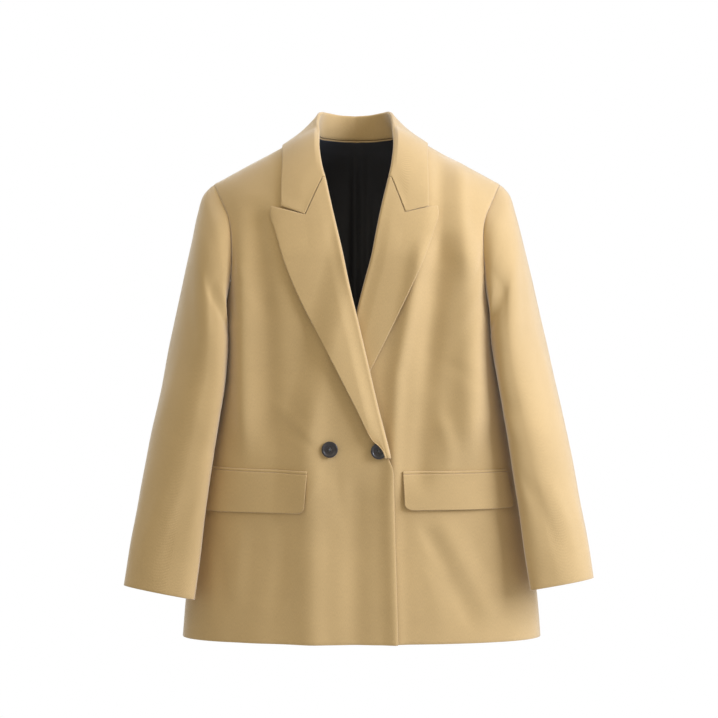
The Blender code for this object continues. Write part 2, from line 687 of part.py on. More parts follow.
def rest_on(g, free):
    """Move the leaf's points out where they, or the lines between them, come too near."""
    tree = body_tree()
    crown = np.sin(np.linspace(1 / g.shape[1], 1, g.shape[1]) * math.pi)
    for _ in range(6):
        for pair in (0, 1):
            p = (g[:-1] + g[1:]) / 2 if pair else g.copy()
            move = np.zeros_like(p)
            for i in range(p.shape[0]):
                for j in range(p.shape[1]):
                    base, n, _, _ = tree.find_nearest(Vector(p[i, j]))
                    away = (Vector(p[i, j]) - base).dot(n)
                    move[i, j] = np.array(n) * max(COLLAR_REST + LAPEL + crown[j] - away, 0)
            if pair:
                g[:-1] += move * (0.6 * free[:-1, None, None])
                g[1:] += move * (0.6 * free[1:, None, None])
            else:
                g += move * free[:, None, None]


def square_to(along, v):
    """The part of v square to the unit vectors along, as unit vectors."""
    v = v - along * np.sum(v * along, axis=1, keepdims=True)
    return v / np.linalg.norm(v, axis=1, keepdims=True)


def collar_end(side, stand, arc, leaf):
    """End row of the collar beside the lapel: round the front's edge, down the gorge seam to
    the notch, then along the end of the leaf."""
    top = side < 0
    lines, out, radius, p0, n0, across = lapel_lines(side, top, np.array([0.98, 1.0]), 8)
    angles = np.linspace(math.pi, 0, arc + 2)
    ring = np.stack(turned(p0, n0, across, radius, angles), axis=1)[-1]
    leg = ring[0] - across[-1] * COLLAR_LEG * np.linspace(1, 0, stand)[:, None]
    ring = np.concatenate([leg, ring[1:]])
    along = p0[1] - p0[0]
    ring += along / np.linalg.norm(along) * 1.9
    stops = np.array([lines[-1, 0] + (side * 1.3, 1.3), lines[-1, 3] + (side * 0.62, 1.17),
                      (side * COLLAR[-1][5] + COLLAR_SHIFT, COLLAR[-1][6])])
    high = (out[-1, 0], out[-1, 3], COLLAR_REST + LAPEL + 0.3)
    s = np.linspace(0, 2, leaf + 1)[1:]
    way = [np.interp(s, (0, 1, 2), values) for values in (*stops.T, high)]
    p, n = lift(*locate(way[0], way[1]), way[2], top=top)
    return np.concatenate([ring, p]), n


def sleeve_grid(table, side, per=1, rows=20):
    """Sleeve as rings: columns round the arm from the underarm up the front, over the
    shoulder and down the back, rows from the armhole to the cuff."""
    high = ROWS_HIGH * per
    front = armhole(high, True)
    back = armhole(high, False)
    pf = surface(front[:, 0], front[:, 1], False)
    pb = surface(back[:, 0], back[:, 1], True)
    nf = normal(front[:, 0], front[:, 1], False)
    nb = normal(back[:, 0], back[:, 1], True)
    ring0 = np.concatenate([pf, pb[-2::-1]])
    seam_n = np.concatenate([nf, nb[-2::-1]])
    ring0[:, 0] *= side
    seam_n[:, 0] *= side
    # angle of each column, 0 at the shoulder point and pi at the underarm
    step = np.linalg.norm(np.diff(ring0, axis=0), axis=1)
    s = np.concatenate([[0], np.cumsum(step)])
    top = len(pf) - 1
    angle = np.where(np.arange(len(s)) <= top, math.pi * (1 - s / s[top]),
                     -math.pi * (s - s[top]) / (s[-1] - s[top]))
    t = np.linspace(0, 1, rows) ** 1.1
    r = path(np.asarray(table, float), t)
    outer = np.stack([r[:, 0], r[:, 4], r[:, 1]], axis=-1)
    inner = np.stack([r[:, 2], r[:, 4], r[:, 3]], axis=-1)
    mid = (outer + inner) / 2
    e1 = (outer - inner) / 2
    tilt = SLEEVE_TURN * smooth(t / 0.45)
    # the more a ring's depth turns, the narrower it is, so the sleeve keeps its width
    e1[:, 0] *= np.sqrt(np.maximum(1 - 0.58 * (r[:, 5] * np.sin(tilt) / e1[:, 0]) ** 2, 0.35))
    e2 = np.stack([-side * np.sin(tilt) * r[:, 5], -np.cos(tilt) * r[:, 5], 0 * t], axis=-1)
    c, sn = np.cos(angle)[None], np.sin(angle)[None]
    # the corner in front of the body is squarer than the rest of the ring
    corner = np.where((c < 0) & (sn > 0), 1 / (1 + 0.5 * smooth(t / 0.40)[:, None]), 1.0)
    c, sn = np.sign(c) * np.abs(c) ** corner, np.sign(sn) * np.abs(sn) ** corner
    g = mid[:, None] + e1[:, None] * c[..., None] + e2[:, None] * sn[..., None]
    g += (ring0 - g[0])[None] * (1 - smooth(t / 0.16))[:, None, None]
    # fullness that stands over the front of the armhole
    ahead = np.clip(-2 * np.cos(angle) * np.sin(angle), 0, 1)[None]
    full = ahead * (smooth(t / 0.09) * (1 - smooth((t - 0.07) / 0.24)))[:, None]
    g += full[..., None] * np.array([9.0 if side < 0 else -4.0, -10.0, 0.0])
    keep_off(g, side, t)
    g[0] = ring0
    return g, seam_n, t


def keep_off(g, side, t):
    """Flatten the inside of a hanging sleeve where it would press into the body."""
    z = g[..., 2]
    a, f, b, shift, power = section(z)
    deep = np.where(g[..., 1] < 0, f, b)
    power = np.where(g[..., 1] < 0, power, np.minimum(power, BACK_POWER))
    near = np.power(np.clip(1 - (np.abs(g[..., 1]) / deep) ** power, 0, 1), 1 / power)
    body = side * shift + a * near
    pocket = smooth((z + 555) / 20) * smooth((-435 - z) / 20) * (g[..., 1] < -30)
    away = 1.0 + 2.4 * smooth(t / 0.06) + 1.2 * smooth(t / 0.3)
    need = body + away[:, None] + 0.8 * (g[..., 1] > 20) + 5.0 * pocket
    short = np.maximum(need - side * g[..., 0], 0) * smooth((CHEST + 8 - z) / 16)
    g[..., 0] += side * short


def build_sleeve(table, side, top_name, under_name, mat):
    g, seam_n, t = sleeve_grid(table, side)
    closed = np.concatenate([g[:, -2:-1], g, g[:, 1:2]], axis=1)
    n = grid_normals(closed)[:, 1:-1]
    mid = g.mean(axis=1, keepdims=True)
    if np.sum(n[5:] * (g[5:] - mid[5:])) < 0:
        n = -n
    facing = np.sum(seam_n * n[1], axis=-1, keepdims=True)
    valley = seam_n + n[1] + np.array([0, 0, -0.3])
    mix = seam_n * smooth((facing + 0.1) / 0.7) + valley * (1 - smooth((facing + 0.1) / 0.7))
    n[0] = mix / np.linalg.norm(mix, axis=-1, keepdims=True)
    n[:, 0] = n[:, -1] = (n[:, 0] + n[:, -1]) / 2
    out = g[1] - g[0]
    g[0] += out / np.linalg.norm(out, axis=-1, keepdims=True) * SEAM / 2
    cols = g.shape[1]
    f, h = UNDER_FRONT, UNDER_BACK
    order = np.arange(cols)
    top = g[:, f:cols - h].copy()
    top_n = n[:, f:cols - h]
    low_i = np.concatenate([order[cols - h - 1:cols - 1], order[:f + 1]])
    low = g[:, low_i].copy()
    low_n = n[:, low_i]
    for piece in (top, low):
        inset(piece, "left", 1.2)
        inset(piece, "right", 1.2)
    return wall(top_name, top, top_n, CLOTH, mat), wall(under_name, low, low_n, CLOTH, mat)


def strip(q0, q1, z_inner, z_outer, cols):
    """q, k of a line across the front between two heights."""
    q = np.linspace(q0, q1, cols)
    z = np.linspace(z_inner, z_outer, cols)
    return q, (z - CHEST) / REACH


def build_pocket(row, top, jet_name, flap_name, mat, cols=13):
    q0, q1, jt0, jt1, ft0, ft1, fb0, fb1 = row
    # the jet lies above the flap
    qj, k_top = strip(q0, q1, jt0, jt1, cols)
    _, k_low = strip(q0, q1, ft0 + 0.3, ft1 + 0.3, cols)
    kk = np.stack([k_low, k_top])
    qq = np.stack([qj, qj])
    g, n = lift(qq, kk, REST + 0.5 + JET_WALL, top=top)
    jet = wall(jet_name, g, n, JET_WALL, mat)
    # the flap: rounded lower corners
    _, k_high = strip(q0, q1, ft0 - 0.3, ft1 - 0.3, cols)
    _, k_bot = strip(q0, q1, fb0, fb1, cols)
    v = np.linspace(0, 1, 5)[:, None]
    kk = k_high * (1 - v) + k_bot * v
    qq = np.repeat(qj[None], 5, axis=0)
    d = np.minimum(np.linspace(0, FLAP_W, cols), np.linspace(FLAP_W, 0, cols))
    round_up = FLAP_CORNER * (1 - np.sqrt(np.clip(1 - (1 - np.minimum(d / FLAP_CORNER, 1)) ** 2, 0, 1)))
    kk = kk + (round_up / REACH) * v ** 3 * 0.6
    g, n = lift(qq, kk, REST + 0.5 + FLAP_WALL + 1.2 * v, top=top)
    flap = wall(flap_name, g[::-1], n[::-1], FLAP_WALL, mat)
    return jet, flap


def build_button(x, z, rest, name, mat, top=True, around=24):
    q, k = locate(x, z)
    p, axis = lift(q, k, 0.0, top=top)
    ring = np.linspace(0, 2 * math.pi, 17)
    rim_x = x + BUTTON_D / 2 * np.cos(ring)
    rim_z = z + BUTTON_D / 2 * np.sin(ring)
    under, _ = lift(*locate(rim_x, rim_z), 0.0, top=top)
    # the disc clears the highest cloth under its rim
    p = p + axis * (max(0.0, float(np.max((under - p) @ axis))) + rest)
    side = np.cross([0, 0, 1.0], axis)
    side /= np.linalg.norm(side)
    up = np.cross(axis, side)
    r = BUTTON_D / 2
    # radius, height: lathe profile of the disc with its rim and dished face
    profile = ((r - 2.2, 0.0), (r - 0.4, 1.0), (r, 2.2), (r - 0.5, BUTTON_H - 0.5), (r - 1.4, BUTTON_H),
               (r - 3.0, BUTTON_H - 0.6), (r - 4.2, BUTTON_H - 1.4))
    verts, faces = [], []
    for radius, height in profile:
        for i in range(around):
            a = 2 * math.pi * i / around
            verts.append(p + axis * height + side * radius * math.cos(a) + up * radius * math.sin(a))
    rings = len(profile)
    for j in range(rings - 1):
        for i in range(around):
            a = j * around + i
            b = j * around + (i + 1) % around
            faces.append((a, b, b + around, a + around))
    faces.append(tuple(range(around - 1, -1, -1)))
    faces.append(tuple((rings - 1) * around + i for i in range(around)))
    ob = make(name, verts, faces, mat)
    if signed_volume(ob.data) < 0:
        ob.data.flip_normals()
    return ob


# ======================= build ============================================================
for old in list(bpy.data.objects):
    bpy.data.objects.remove(old, do_unlink=True)
COLL = bpy.data.collections.new(NAME)
bpy.context.scene.collection.children.link(COLL)

camel = material("camel_twill", (0.50, 0.36, 0.18), 0.85)
satin = material("black_satin", (0.02, 0.02, 0.022), 0.4)
horn = material("dark_button", (0.015, 0.014, 0.014), 0.35)

build_back(-1, "back_right", camel)
build_back(1, "back_left", camel)
build_lining("back_lining", satin)
build_front(-1, True, "front_right", camel)
build_front(1, False, "front_left", camel)
build_lapel(-1, True, "lapel_right", camel)
build_lapel(1, False, "lapel_left", camel)
build_collar("collar", camel)
build_sleeve(SLEEVE_RIGHT, -1, "top_sleeve_right", "under_sleeve_right", camel)
build_sleeve(SLEEVE_LEFT, 1, "top_sleeve_left", "under_sleeve_left", camel)
build_pocket(POCKET_RIGHT, True, "jet_right", "flap_right", camel)
build_pocket(POCKET_LEFT, False, "jet_left", "flap_left", camel)
build_button(*BUTTONS[0], "button_side", horn)
build_button(*BUTTONS[1], "button_front", horn)
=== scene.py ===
"""Looks of the double breasted blazer: thin cloth shells on the forms of its cut pieces.

Lengths are in mm in the tables and metres in the meshes.  +Z up, the front faces -Y, +X is
the wearer's left.
"""
import bpy
import math
import numpy as np
from mathutils import Matrix, Vector
from mathutils.bvhtree import BVHTree


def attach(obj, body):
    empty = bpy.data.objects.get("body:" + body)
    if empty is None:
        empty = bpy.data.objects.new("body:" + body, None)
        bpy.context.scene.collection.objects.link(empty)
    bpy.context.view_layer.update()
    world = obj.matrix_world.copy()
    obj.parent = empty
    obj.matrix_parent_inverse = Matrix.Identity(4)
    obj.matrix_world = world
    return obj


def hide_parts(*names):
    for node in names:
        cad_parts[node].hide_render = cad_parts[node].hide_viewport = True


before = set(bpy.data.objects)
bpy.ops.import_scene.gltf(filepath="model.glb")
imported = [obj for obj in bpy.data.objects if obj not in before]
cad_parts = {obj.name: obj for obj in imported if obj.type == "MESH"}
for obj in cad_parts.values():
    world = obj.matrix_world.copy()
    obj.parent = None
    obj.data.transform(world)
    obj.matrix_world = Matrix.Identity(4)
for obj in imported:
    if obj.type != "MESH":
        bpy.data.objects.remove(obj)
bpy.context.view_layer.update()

MM = 0.001

# ---- cloth and seams, mm -------------------------------------------------------------
CLOTH = 2.0
LAPEL = 2.0
LINING = 0.9
FOLDED = 1.5
LIP = 0.7              # how far the rounded edge of a piece stands past its last row
SEAM = -0.1            # the rounded edges of two pieces press lightly together

# ---- body form, rows from the hem up: height, half_width, front, back, shift, power -----
SECTIONS = (
    (-725, 275, 113, 114, 7.0, 2.25), (-630, 266, 115, 112, 7.0, 2.35),
    (-530, 250, 118, 108, 5.0, 2.70), (-430, 229, 122, 104, 5.5, 3.50),
    (-345, 212.5, 126, 108, 5.5, 4.20), (-248, 205.5, 127, 116, 1.5, 4.20),
    (-150, 206, 125, 122, 0.0, 3.80), (-90, 213, 125, 122, 0.0, 3.40),
    (-38, 226, 125, 122, 0.0, 3.00), (90, 240, 125, 122, 0.0, 2.80),
)
CHEST = -150.0
SHOULDER_X = 221.0
SHOULDER_Z = -32.0
SLOPE = 0.541
RIDGE_ROUND = 15.0     # the shoulder line is rounded off this near the centre
BACK_POWER = 2.4       # the back is rounder than the front
FRONT_TURN = 1.55
BACK_TURN = 2.6
UNDERARM_Z = -248.0
HEM_Z = -725.0
NECK_X = 66.0
NECK_BACK = 44.0
REACH = 280.0

# ---- armhole from the shoulder point to the underarm: height, front_x, back_x -------------
ARMHOLE = (
    (-32, 221, 221), (-57, 208, 212), (-90, 193.5, 201), (-128, 188, 195), (-165, 187.5, 193),
    (-205, 194, 197), (-236, 203, 202),
)

# ---- front edges and roll lines from the hem up: x, z, roll -------------------------------
TOP_EDGE = (
    (60.5, -725, 0), (58.5, -650, 0), (56, -560, 0), (54, -490, 0), (52.2, -462, 0),
    (50.3, -445, 1), (34, -381, 1), (19.5, -318, 1), (4.5, -253, 1), (-10.5, -190, 1),
    (-19.5, -146, 1), (-28.2, -108, 1), (-36, -75, 1), (-46, -29, 1),
)
UNDER_EDGE = (
    (-60.5, -725, 0), (-60, -650, 0), (-59.5, -560, 0), (-59, -490, 0), (-58, -446, 1),
    (-41, -381, 1), (-24, -318, 1), (-7, -253, 1), (9, -190, 1), (20.8, -146, 1),
    (28.2, -108, 1), (35, -75, 1), (46, -29, 1),
)
NECKLINE = ((55, -14), (60, 8), (64.2, 29), (NECK_X, SHOULDER_Z + (SHOULDER_X - NECK_X) * SLOPE))
BACK_NECKLINE = ((0, NECK_BACK), (40, 44.5), (58, 46.5), NECKLINE[-1])
ROLL_R = 4.5
LAP = 11.5             # how far the top front stands out over the under front, and at the hem
LAP_HEM = 4.6
LAP_HEM_Z = -590.0     # up to here it is as at the hem, and LAP_RISE higher it is full
LAP_RISE = 140.0
LAP_START = 68.0       # it starts this far outside the hidden edge, and LAP_RAMP on it is full
LAP_RAMP = 52.0

# ---- lapels from the break up: edge_x, edge_z, lift, roll radius --------------------------
TOP_LAPEL = (
    (45, -445, 0.2, 5.4), (41.5, -436.5, 0.8, 7.2), (33, -428, 1.2, 7.2), (25, -421.9, 2.2, 7.2),
    (14.6, -405.5, 4.5, 6.6), (7.8, -390.6, 6.0, 6.0),
    (-25, -326, 7.0, 4.9), (-55, -268, 6.0, ROLL_R), (-84, -212, 4.0, ROLL_R),
    (-108, -153, 2.2, ROLL_R), (-121, -110, 1.0, ROLL_R), (-129, -84, 0.8, ROLL_R),
    (-127.5, -73, 0.8, ROLL_R),
)
UNDER_LAPEL = (
    (-46, -446, 0.0, ROLL_R), (-35, -427, 0.0, ROLL_R), (-16, -390, 0.0, ROLL_R),
    (19, -318, 1.2, ROLL_R), (46, -264, 3.6, ROLL_R), (74, -205, 4.0, ROLL_R),
    (100, -148, 2.6, ROLL_R), (114, -110, 1.0, ROLL_R), (122, -80, 0.8, ROLL_R),
    (120.5, -71, 0.8, ROLL_R),
)
TOP_NOTCH = (-76.5, -86.5)
UNDER_NOTCH = (71.5, -82.5)

# ---- collar from the centre back to the gorge: neck x z, fold x y z, edge x z, roll radius --
COLLAR = (
    (0, 44, 0, 70, 79, 0, 33, 3.2), (26, 46.7, 22, 65, 80, 34, 31, 3.2),
    (48, 48.9, 41, 49, 81.5, 66, 29, 3.2), (62, 50.4, 52, 24, 79, 94, 30, 3.2),
    (66, 50.8, 56, 0, 63, 108, 27, 3.2), (64.2, 29, 58.5, -33, 37, 108.5, 4, 3.3),
    (59.5, 8, 56.5, -57, 15, 109, -22, 3.6), (55, -8, 52.5, -78, -9, 109.5, -48, 4.1),
    (50.9, -28, 50.2, -92, -28, 109.8, -72.5, 4.5),
)
COLLAR_REST = 2.2
COLLAR_SHIFT = -3.0
COLLAR_LEG = 2.5
COLLAR_GAP = 1.2
# roll of the collar past the front's neck edge: place on the neck seam, wearer's right, left
OVERHANG = (
    (0.45, 5.0, 8.0), (0.56, 5.0, 8.0), (0.67, 4.0, 6.0), (0.78, 1.6, 3.5),
    (0.89, 0.2, 1.5), (1.0, 0.0, 0.0),
)

# ---- sleeves from the armhole to the cuff: outer x z, inner x z, centre_y, half_depth -----
SLEEVE_RIGHT = (
    (-221, -32, -205, -248, 0, 66), (-235, -48, -203, -256, -8, 73),
    (-244, -78, -201, -265, -17, 79), (-253, -122, -198, -277, -28, 82),
    (-266, -180, -197, -297, -40, 80), (-281.5, -260, -204, -338, -51, 75),
    (-295.5, -340, -214, -398, -60, 68), (-313.3, -425, -223, -462, -66, 60),
    (-328, -505, -232, -532, -71, 53), (-341.8, -578, -239.5, -602, -73, 47),
    (-351.2, -641, -247, -660, -75, 43),
)
SLEEVE_LEFT = (
    (221, -32, 206, -248, 0, 66), (234, -48, 204, -256, -8, 73), (243, -78, 202, -265, -17, 79),
    (254, -122, 201, -277, -28, 82), (268, -180, 207, -297, -40, 80),
    (285, -260, 218, -338, -51, 75), (301.8, -340, 229, -398, -60, 68),
    (320, -425, 238, -462, -66, 59), (334.7, -505, 247.5, -530, -71, 51),
    (348.3, -572, 255.5, -594, -73, 45), (356.5, -630, 263, -646, -75, 41),
)
SLEEVE_TURN = math.radians(22)

# ---- pockets: q_inner, q_outer, jet_top, flap_top, flap_bottom (inner and outer heights) ---
POCKET_RIGHT = (-0.215, -0.790, -465.5, -461.5, -470.0, -465.0, -528.0, -527.0)
POCKET_LEFT = (0.172, 0.745, -467.0, -465.5, -471.5, -469.0, -524.0, -522.5)
REST = 0.7
FLAP_WALL = 2.2
JET_WALL = 1.4
FLAP_CORNER = 9.0
FLAP_W = 155.0
FLAP_LOW = -555.0      # heights between which a sleeve keeps clear of the flap
FLAP_HIGH = -435.0

BUTTON_D = 24.0
BUTTONS = ((-40.0, -432.9, 0.5), (32.4, -435.2, 0.5))

# ---- large folds of the fronts: x_top, z_top, x_low, z_low, half_width, height ------------
TOP_FOLDS = ((-67, -340, -66, -720, 21, 5.0), (47, -470, 56, -720, 16, 2.5))
FOLDS = (
    # wearer's right: long hollow beside the sleeve
    (-152, -70, -136, -240, 18, -7.0), (-136, -225, -131, -430, 20, -6.5),
    (-172, -130, -167, -430, 14, 7.0),
    # wearer's left: ridge that comes out from under the lapel and runs down the front edge
    (96, -130, 58.5, -330, 13, 7.0), (60, -318, 50, -518, 12, 5.5),
    (50, -506, 58, -720, 12, 3.5),
    # the hollow outside it, and the swell beside the sleeve
    (128, -120, 103, -330, 18, -8.5), (103, -318, 92, -490, 18, -5.0),
    (169, -115, 168, -440, 23, 11.0), (130, -390, 138, -470, 14, 1.8),
    # shoulder hollow and ridge
    (128, 20, 123, -150, 14, -5.0), (156, 0, 158, -180, 12, 3.5),
    # centre hollow below the buttons
    (-2, -475, -2, -720, 20, -4.5),
    # slanting folds below the pocket
    (96, -545, 176, -700, 14, -2.2), (126, -540, 205, -690, 14, 1.8),
    (-150, -540, -178, -715, 22, -1.6),
)

BACK_FOLDS = (
    (64, -300, 92, -720, 24, 4.0), (-72, -330, -98, -720, 26, 3.6),
    (128, -290, 160, -720, 19, -3.4), (-134, -310, -168, -720, 20, -3.2),
    (18, -390, 26, -720, 20, -2.6), (-26, -420, -34, -720, 20, -2.2),
    (122, -95, 98, -250, 18, 2.4), (-128, -90, -104, -260, 19, 2.4),
)

# ---- smaller creases: x1, z1, x2, z2, bow, half_width, height -----------------------------
FRONT_CREASES = (
    # drag lines below the armhole, wearer's right
    (-186, -125, -156, -215, 6, 5.0, -1.1), (-178, -140, -142, -240, 8, 6.0, 0.9),
    (-190, -165, -168, -262, 5, 5.0, -0.8),
    # drag lines below the armhole, wearer's left
    (184, -120, 158, -208, -6, 5.5, -1.0), (186, -150, 150, -250, -8, 7.0, 0.8),
    (178, -200, 128, -300, -10, 9.0, -0.9),
    # from the buttons
    (-54, -440, -118, -400, 5, 7.0, -0.9), (-50, -448, -96, -540, -6, 9.0, 0.9),
    (-30, -446, -14, -560, 5, 9.0, -0.8), (-60, -430, -150, -352, 8, 9.0, 0.8),
    # below the pockets
    (-110, -535, -128, -690, -7, 11.0, -1.2), (-165, -535, -178, -700, 6, 12.0, 1.1),
    (-214, -540, -206, -700, -5, 10.0, -1.0),
    (84, -536, 150, -640, 9, 10.0, 0.8), (88, -590, 124, -716, -9, 12.0, 0.8),
    (160, -532, 236, -660, 8, 12.0, -0.8), (190, -530, 250, -620, 6, 10.0, 0.6),
    # waist
    (-98, -300, -180, -348, 6, 10.0, -0.8), (120, -300, 186, -352, -6, 10.0, -0.8),
    (118, -360, 152, -462, 5, 11.0, 1.3),
)
BACK_CREASES = (
    (20, -60, 34, -300, 8, 22.0, -1.6), (-26, -90, -40, -330, -9, 24.0, -1.4),
    (96, -70, 118, -260, 10, 18.0, 1.6), (-104, -60, -126, -250, -10, 17.0, 1.5),
    (176, -90, 146, -215, -9, 8.0, -1.6), (186, -130, 140, -260, -11, 9.0, 1.3),
    (-178, -95, -150, -225, 8, 8.0, -1.5), (-188, -140, -138, -275, 10, 9.0, 1.2),
    (70, -360, 84, -715, 9, 22.0, 2.6), (-78, -340, -92, -716, -8, 24.0, 2.4),
    (132, -330, 158, -714, 8, 18.0, -2.4), (-140, -350, -166, -715, -9, 18.0, -2.2),
    (22, -380, 28, -714, 4, 20.0, -1.6), (-30, -400, -34, -715, -5, 20.0, -1.5),
    (60, -300, 168, -352, 7, 9.0, -1.0), (-56, -316, -162, -360, 7, 9.0, -1.0),
    (72, -328, 182, -388, 8, 9.0, 0.8), (-84, -336, -178, -392, -7, 9.0, 0.8),
    (196, -420, 214, -700, 7, 14.0, 1.6), (-204, -430, -220, -700, -7, 14.0, 1.6),
)

# ---- creases of a sleeve: t from armhole to cuff, angle (0 outer, 90 front, 180 inner, -90
# back), then the same at the other end, bow, half_width, height ----------------------------
SLEEVE_CREASES = (
    (0.05, 120, 0.22, 84, 8, 11.0, -0.6), (0.07, 138, 0.27, 104, 8, 12.0, 0.5),
    (0.10, 152, 0.30, 128, 6, 10.0, -0.4), (0.04, -112, 0.20, -78, -8, 9.0, -1.4),
    (0.06, -134, 0.26, -100, -8, 9.0, 1.1), (0.12, 40, 0.42, 58, 5, 13.0, -0.9),
    (0.40, 150, 0.52, 92, 10, 12.0, -0.9), (0.45, 158, 0.57, 100, 10, 12.0, 0.7),
    (0.52, 150, 0.63, 104, 8, 11.0, -0.7), (0.42, -160, 0.50, -92, -10, 10.0, -1.3),
    (0.50, -150, 0.60, -84, -9, 10.0, 1.1), (0.62, 118, 0.96, 74, 9, 11.0, -1.6),
    (0.68, 70, 0.99, 42, 7, 12.0, 1.2), (0.60, -60, 0.98, -86, 8, 13.0, -1.3),
    (0.30, 20, 0.62, 12, 4, 13.0, 0.9), (0.70, 10, 0.99, -14, 5, 13.0, -0.9),
)

# ---- fineness of the shells, and sizes worked out from the tables --------------------------
LOW = 96               # rows from the hem to the underarm
HIGH = 60              # rows from the underarm to the shoulder
NECK = 30              # those of them on the neckline
BACK_NECK = 60         # steps along one half of the back neckline
FRONT_COLS = 118
BACK_COLS = 96
LINING_COLS = 70       # of one half
FLAP_COLS = 84
SEWN_COLS = (0.9, 2.0, 3.4, 5.4, 8.0)  # mm from a sewn edge to the close columns beside it
FACING_COLS = 34       # columns of a front that its facing covers inside
HEM_ROWS = 9           # rows that the turned hem covers inside, of a front and of a sleeve
TURNED = LIP * 0.6     # inset of a turned edge that is sewn to nothing
WRAP = CLOTH / 2 + FOLDED + LAPEL      # from the middle of the front in to the lapel's leg
ROLL_CLEAR = ROLL_R + 0.4              # from the roll line to the front's own edge
LEAF_REST = COLLAR_REST + LAPEL        # height of the collar's leaf over the body
FRONT_W = 300.0        # widths over which the columns of a front and a back are spaced
BACK_W = 280.0
SLEEVE_L = 620.0       # length and girth over which a sleeve's creases are spaced
SLEEVE_GIRTH = 330.0
HOLE_OUT = 2.3         # a button's holes stand this far off its middle


# ======================= curves and the body surface ======================================
def hermite(xs, ys, x):
    """Smooth curve through the table values ys at xs, read at x."""
    xs, ys = np.asarray(xs, float), np.asarray(ys, float)
    slope = np.gradient(ys, xs)
    i = np.clip(np.searchsorted(xs, x) - 1, 0, len(xs) - 2)
    h = xs[i + 1] - xs[i]
    t = np.clip((x - xs[i]) / h, 0, 1)
    t2, t3 = t * t, t * t * t
    start = (2 * t3 - 3 * t2 + 1) * ys[i] + (t3 - 2 * t2 + t) * h * slope[i]
    return start + (3 * t2 - 2 * t3) * ys[i + 1] + (t3 - t2) * h * slope[i + 1]


def walk(g, axis=0):
    """Distance from the start along one axis of a line or grid of points."""
    step = np.linalg.norm(np.diff(g, axis=axis), axis=-1)
    return np.concatenate([np.zeros_like(step.take([0], axis)), step.cumsum(axis)], axis)


def path(rows, t, by=slice(None)):
    """Smooth path through the rows, t from 0 to 1 by the distance between them."""
    rows = np.asarray(rows, float)
    s = walk(rows[:, by])
    t = np.atleast_1d(np.asarray(t, float))
    return np.stack([hermite(s / s[-1], column, t) for column in rows.T], axis=-1)


def smooth(x):
    x = np.clip(x, 0, 1)
    return x * x * (3 - 2 * x)


def hill(x, half_width):
    """Soft hill of height 1 that dies away on both sides."""
    return np.exp(-(x / half_width) ** 2)


def unit(v):
    return v / np.maximum(np.linalg.norm(v, axis=-1, keepdims=True), 1e-9)


def square_to(along, v):
    """The part of v square to the unit vectors along, as unit vectors."""
    return unit(v - along * np.sum(v * along, axis=-1, keepdims=True))


def quarter_sine(k):
    """Sine of k quarter turns."""
    return np.sin(k * math.pi / 2)


def quarter_turns(sine, low=-1):
    """Quarter turns of the angle with this sine."""
    return np.arcsin(np.clip(sine, low, 1)) * 2 / math.pi


def section(z):
    """Half width, front, back, shift and power of the body at the height z."""
    table = np.asarray(SECTIONS, float)
    z = np.clip(z, table[0, 0], table[-1, 0])
    return [hermite(table[:, 0], table[:, c], z) for c in range(1, 6)]


def ridge(x):
    """Height of the shoulder seam above the point x."""
    return SHOULDER_Z + (SHOULDER_X - np.sqrt(x * x + RIDGE_ROUND ** 2)) * SLOPE


def below(z):
    """k of a height below the chest."""
    return (z - CHEST) / REACH


def surface(q, k, back=False):
    """Body surface: q from -1 (wearer's right side) to 1, k below 0 under the chest, 1 at the
    shoulder seam."""
    q, k = np.broadcast_arrays(np.asarray(q, float), np.asarray(k, float))
    swing, rise = quarter_sine(q), quarter_sine(np.clip(k, 0, 1))
    z = hanging = CHEST + np.minimum(k, 0) * REACH
    # the width depends on the height and the shoulder's height on the width
    for _ in range(6):
        a, f, b, shift, power = section(z)
        x = shift + a * swing
        z = np.where(k > 0, CHEST + (ridge(x) - CHEST) * rise, hanging)
    if back:
        power = np.minimum(power, BACK_POWER)
    round_in = np.power(np.clip(1 - np.abs(swing) ** power, 0, 1), 1 / power)
    lean = np.sqrt(np.clip(1 - rise ** (BACK_TURN if back else FRONT_TURN), 0, 1))
    return np.stack([x, (b if back else -f) * round_in * lean, z], axis=-1)


def normal(q, k, back=False):
    """Outward normal of the body surface."""
    e = 2e-4
    q = np.clip(q, -1 + 2 * e, 1 - 2 * e)
    k = np.minimum(k, 1 - 2 * e)
    n = np.cross(surface(q + e, k, back) - surface(q - e, k, back),
                 surface(q, k + e, back) - surface(q, k - e, back))
    return unit(-n if back else n)


def across(x, z):
    """q of the point x across at the height z."""
    a, _, _, shift, _ = section(z)
    return quarter_turns((x - shift) / a)


def locate(x, z):
    """Front view position x, z to the surface's q, k."""
    x, z = np.asarray(x, float), np.asarray(z, float)
    high = quarter_turns((z - CHEST) / (ridge(x) - CHEST), 0)
    return across(x, z), np.where(z > CHEST, high, below(z))


def to_shoulder(line):
    """q, k of an x, z line whose last point is on the shoulder seam."""
    q, k = locate(*line.T)
    k[-1] = 1.0
    return q, k


def beside(dx, dy, ax, ay):
    """Share of the way along the line ax, ay, and distance off it, of the offsets dx, dy."""
    length = math.hypot(ax, ay)
    return (dx * ax + dy * ay) / length ** 2, (dx * ay - dy * ax) / length


def folds(p, table=FOLDS):
    """Height of the large folds at the surface points p; one that reaches the hem stays open."""
    out = np.zeros(p.shape[:-1])
    for x1, z1, x2, z2, width, height in table:
        t, off = beside(p[..., 0] - x1, p[..., 2] - z1, x2 - x1, z2 - z1)
        ends = smooth((t + 0.12) / 0.3)
        if z2 >= HEM_Z + 20:
            ends = ends * smooth((1.12 - t) / 0.3)
        out += height * ends * hill(off, width)
    return out


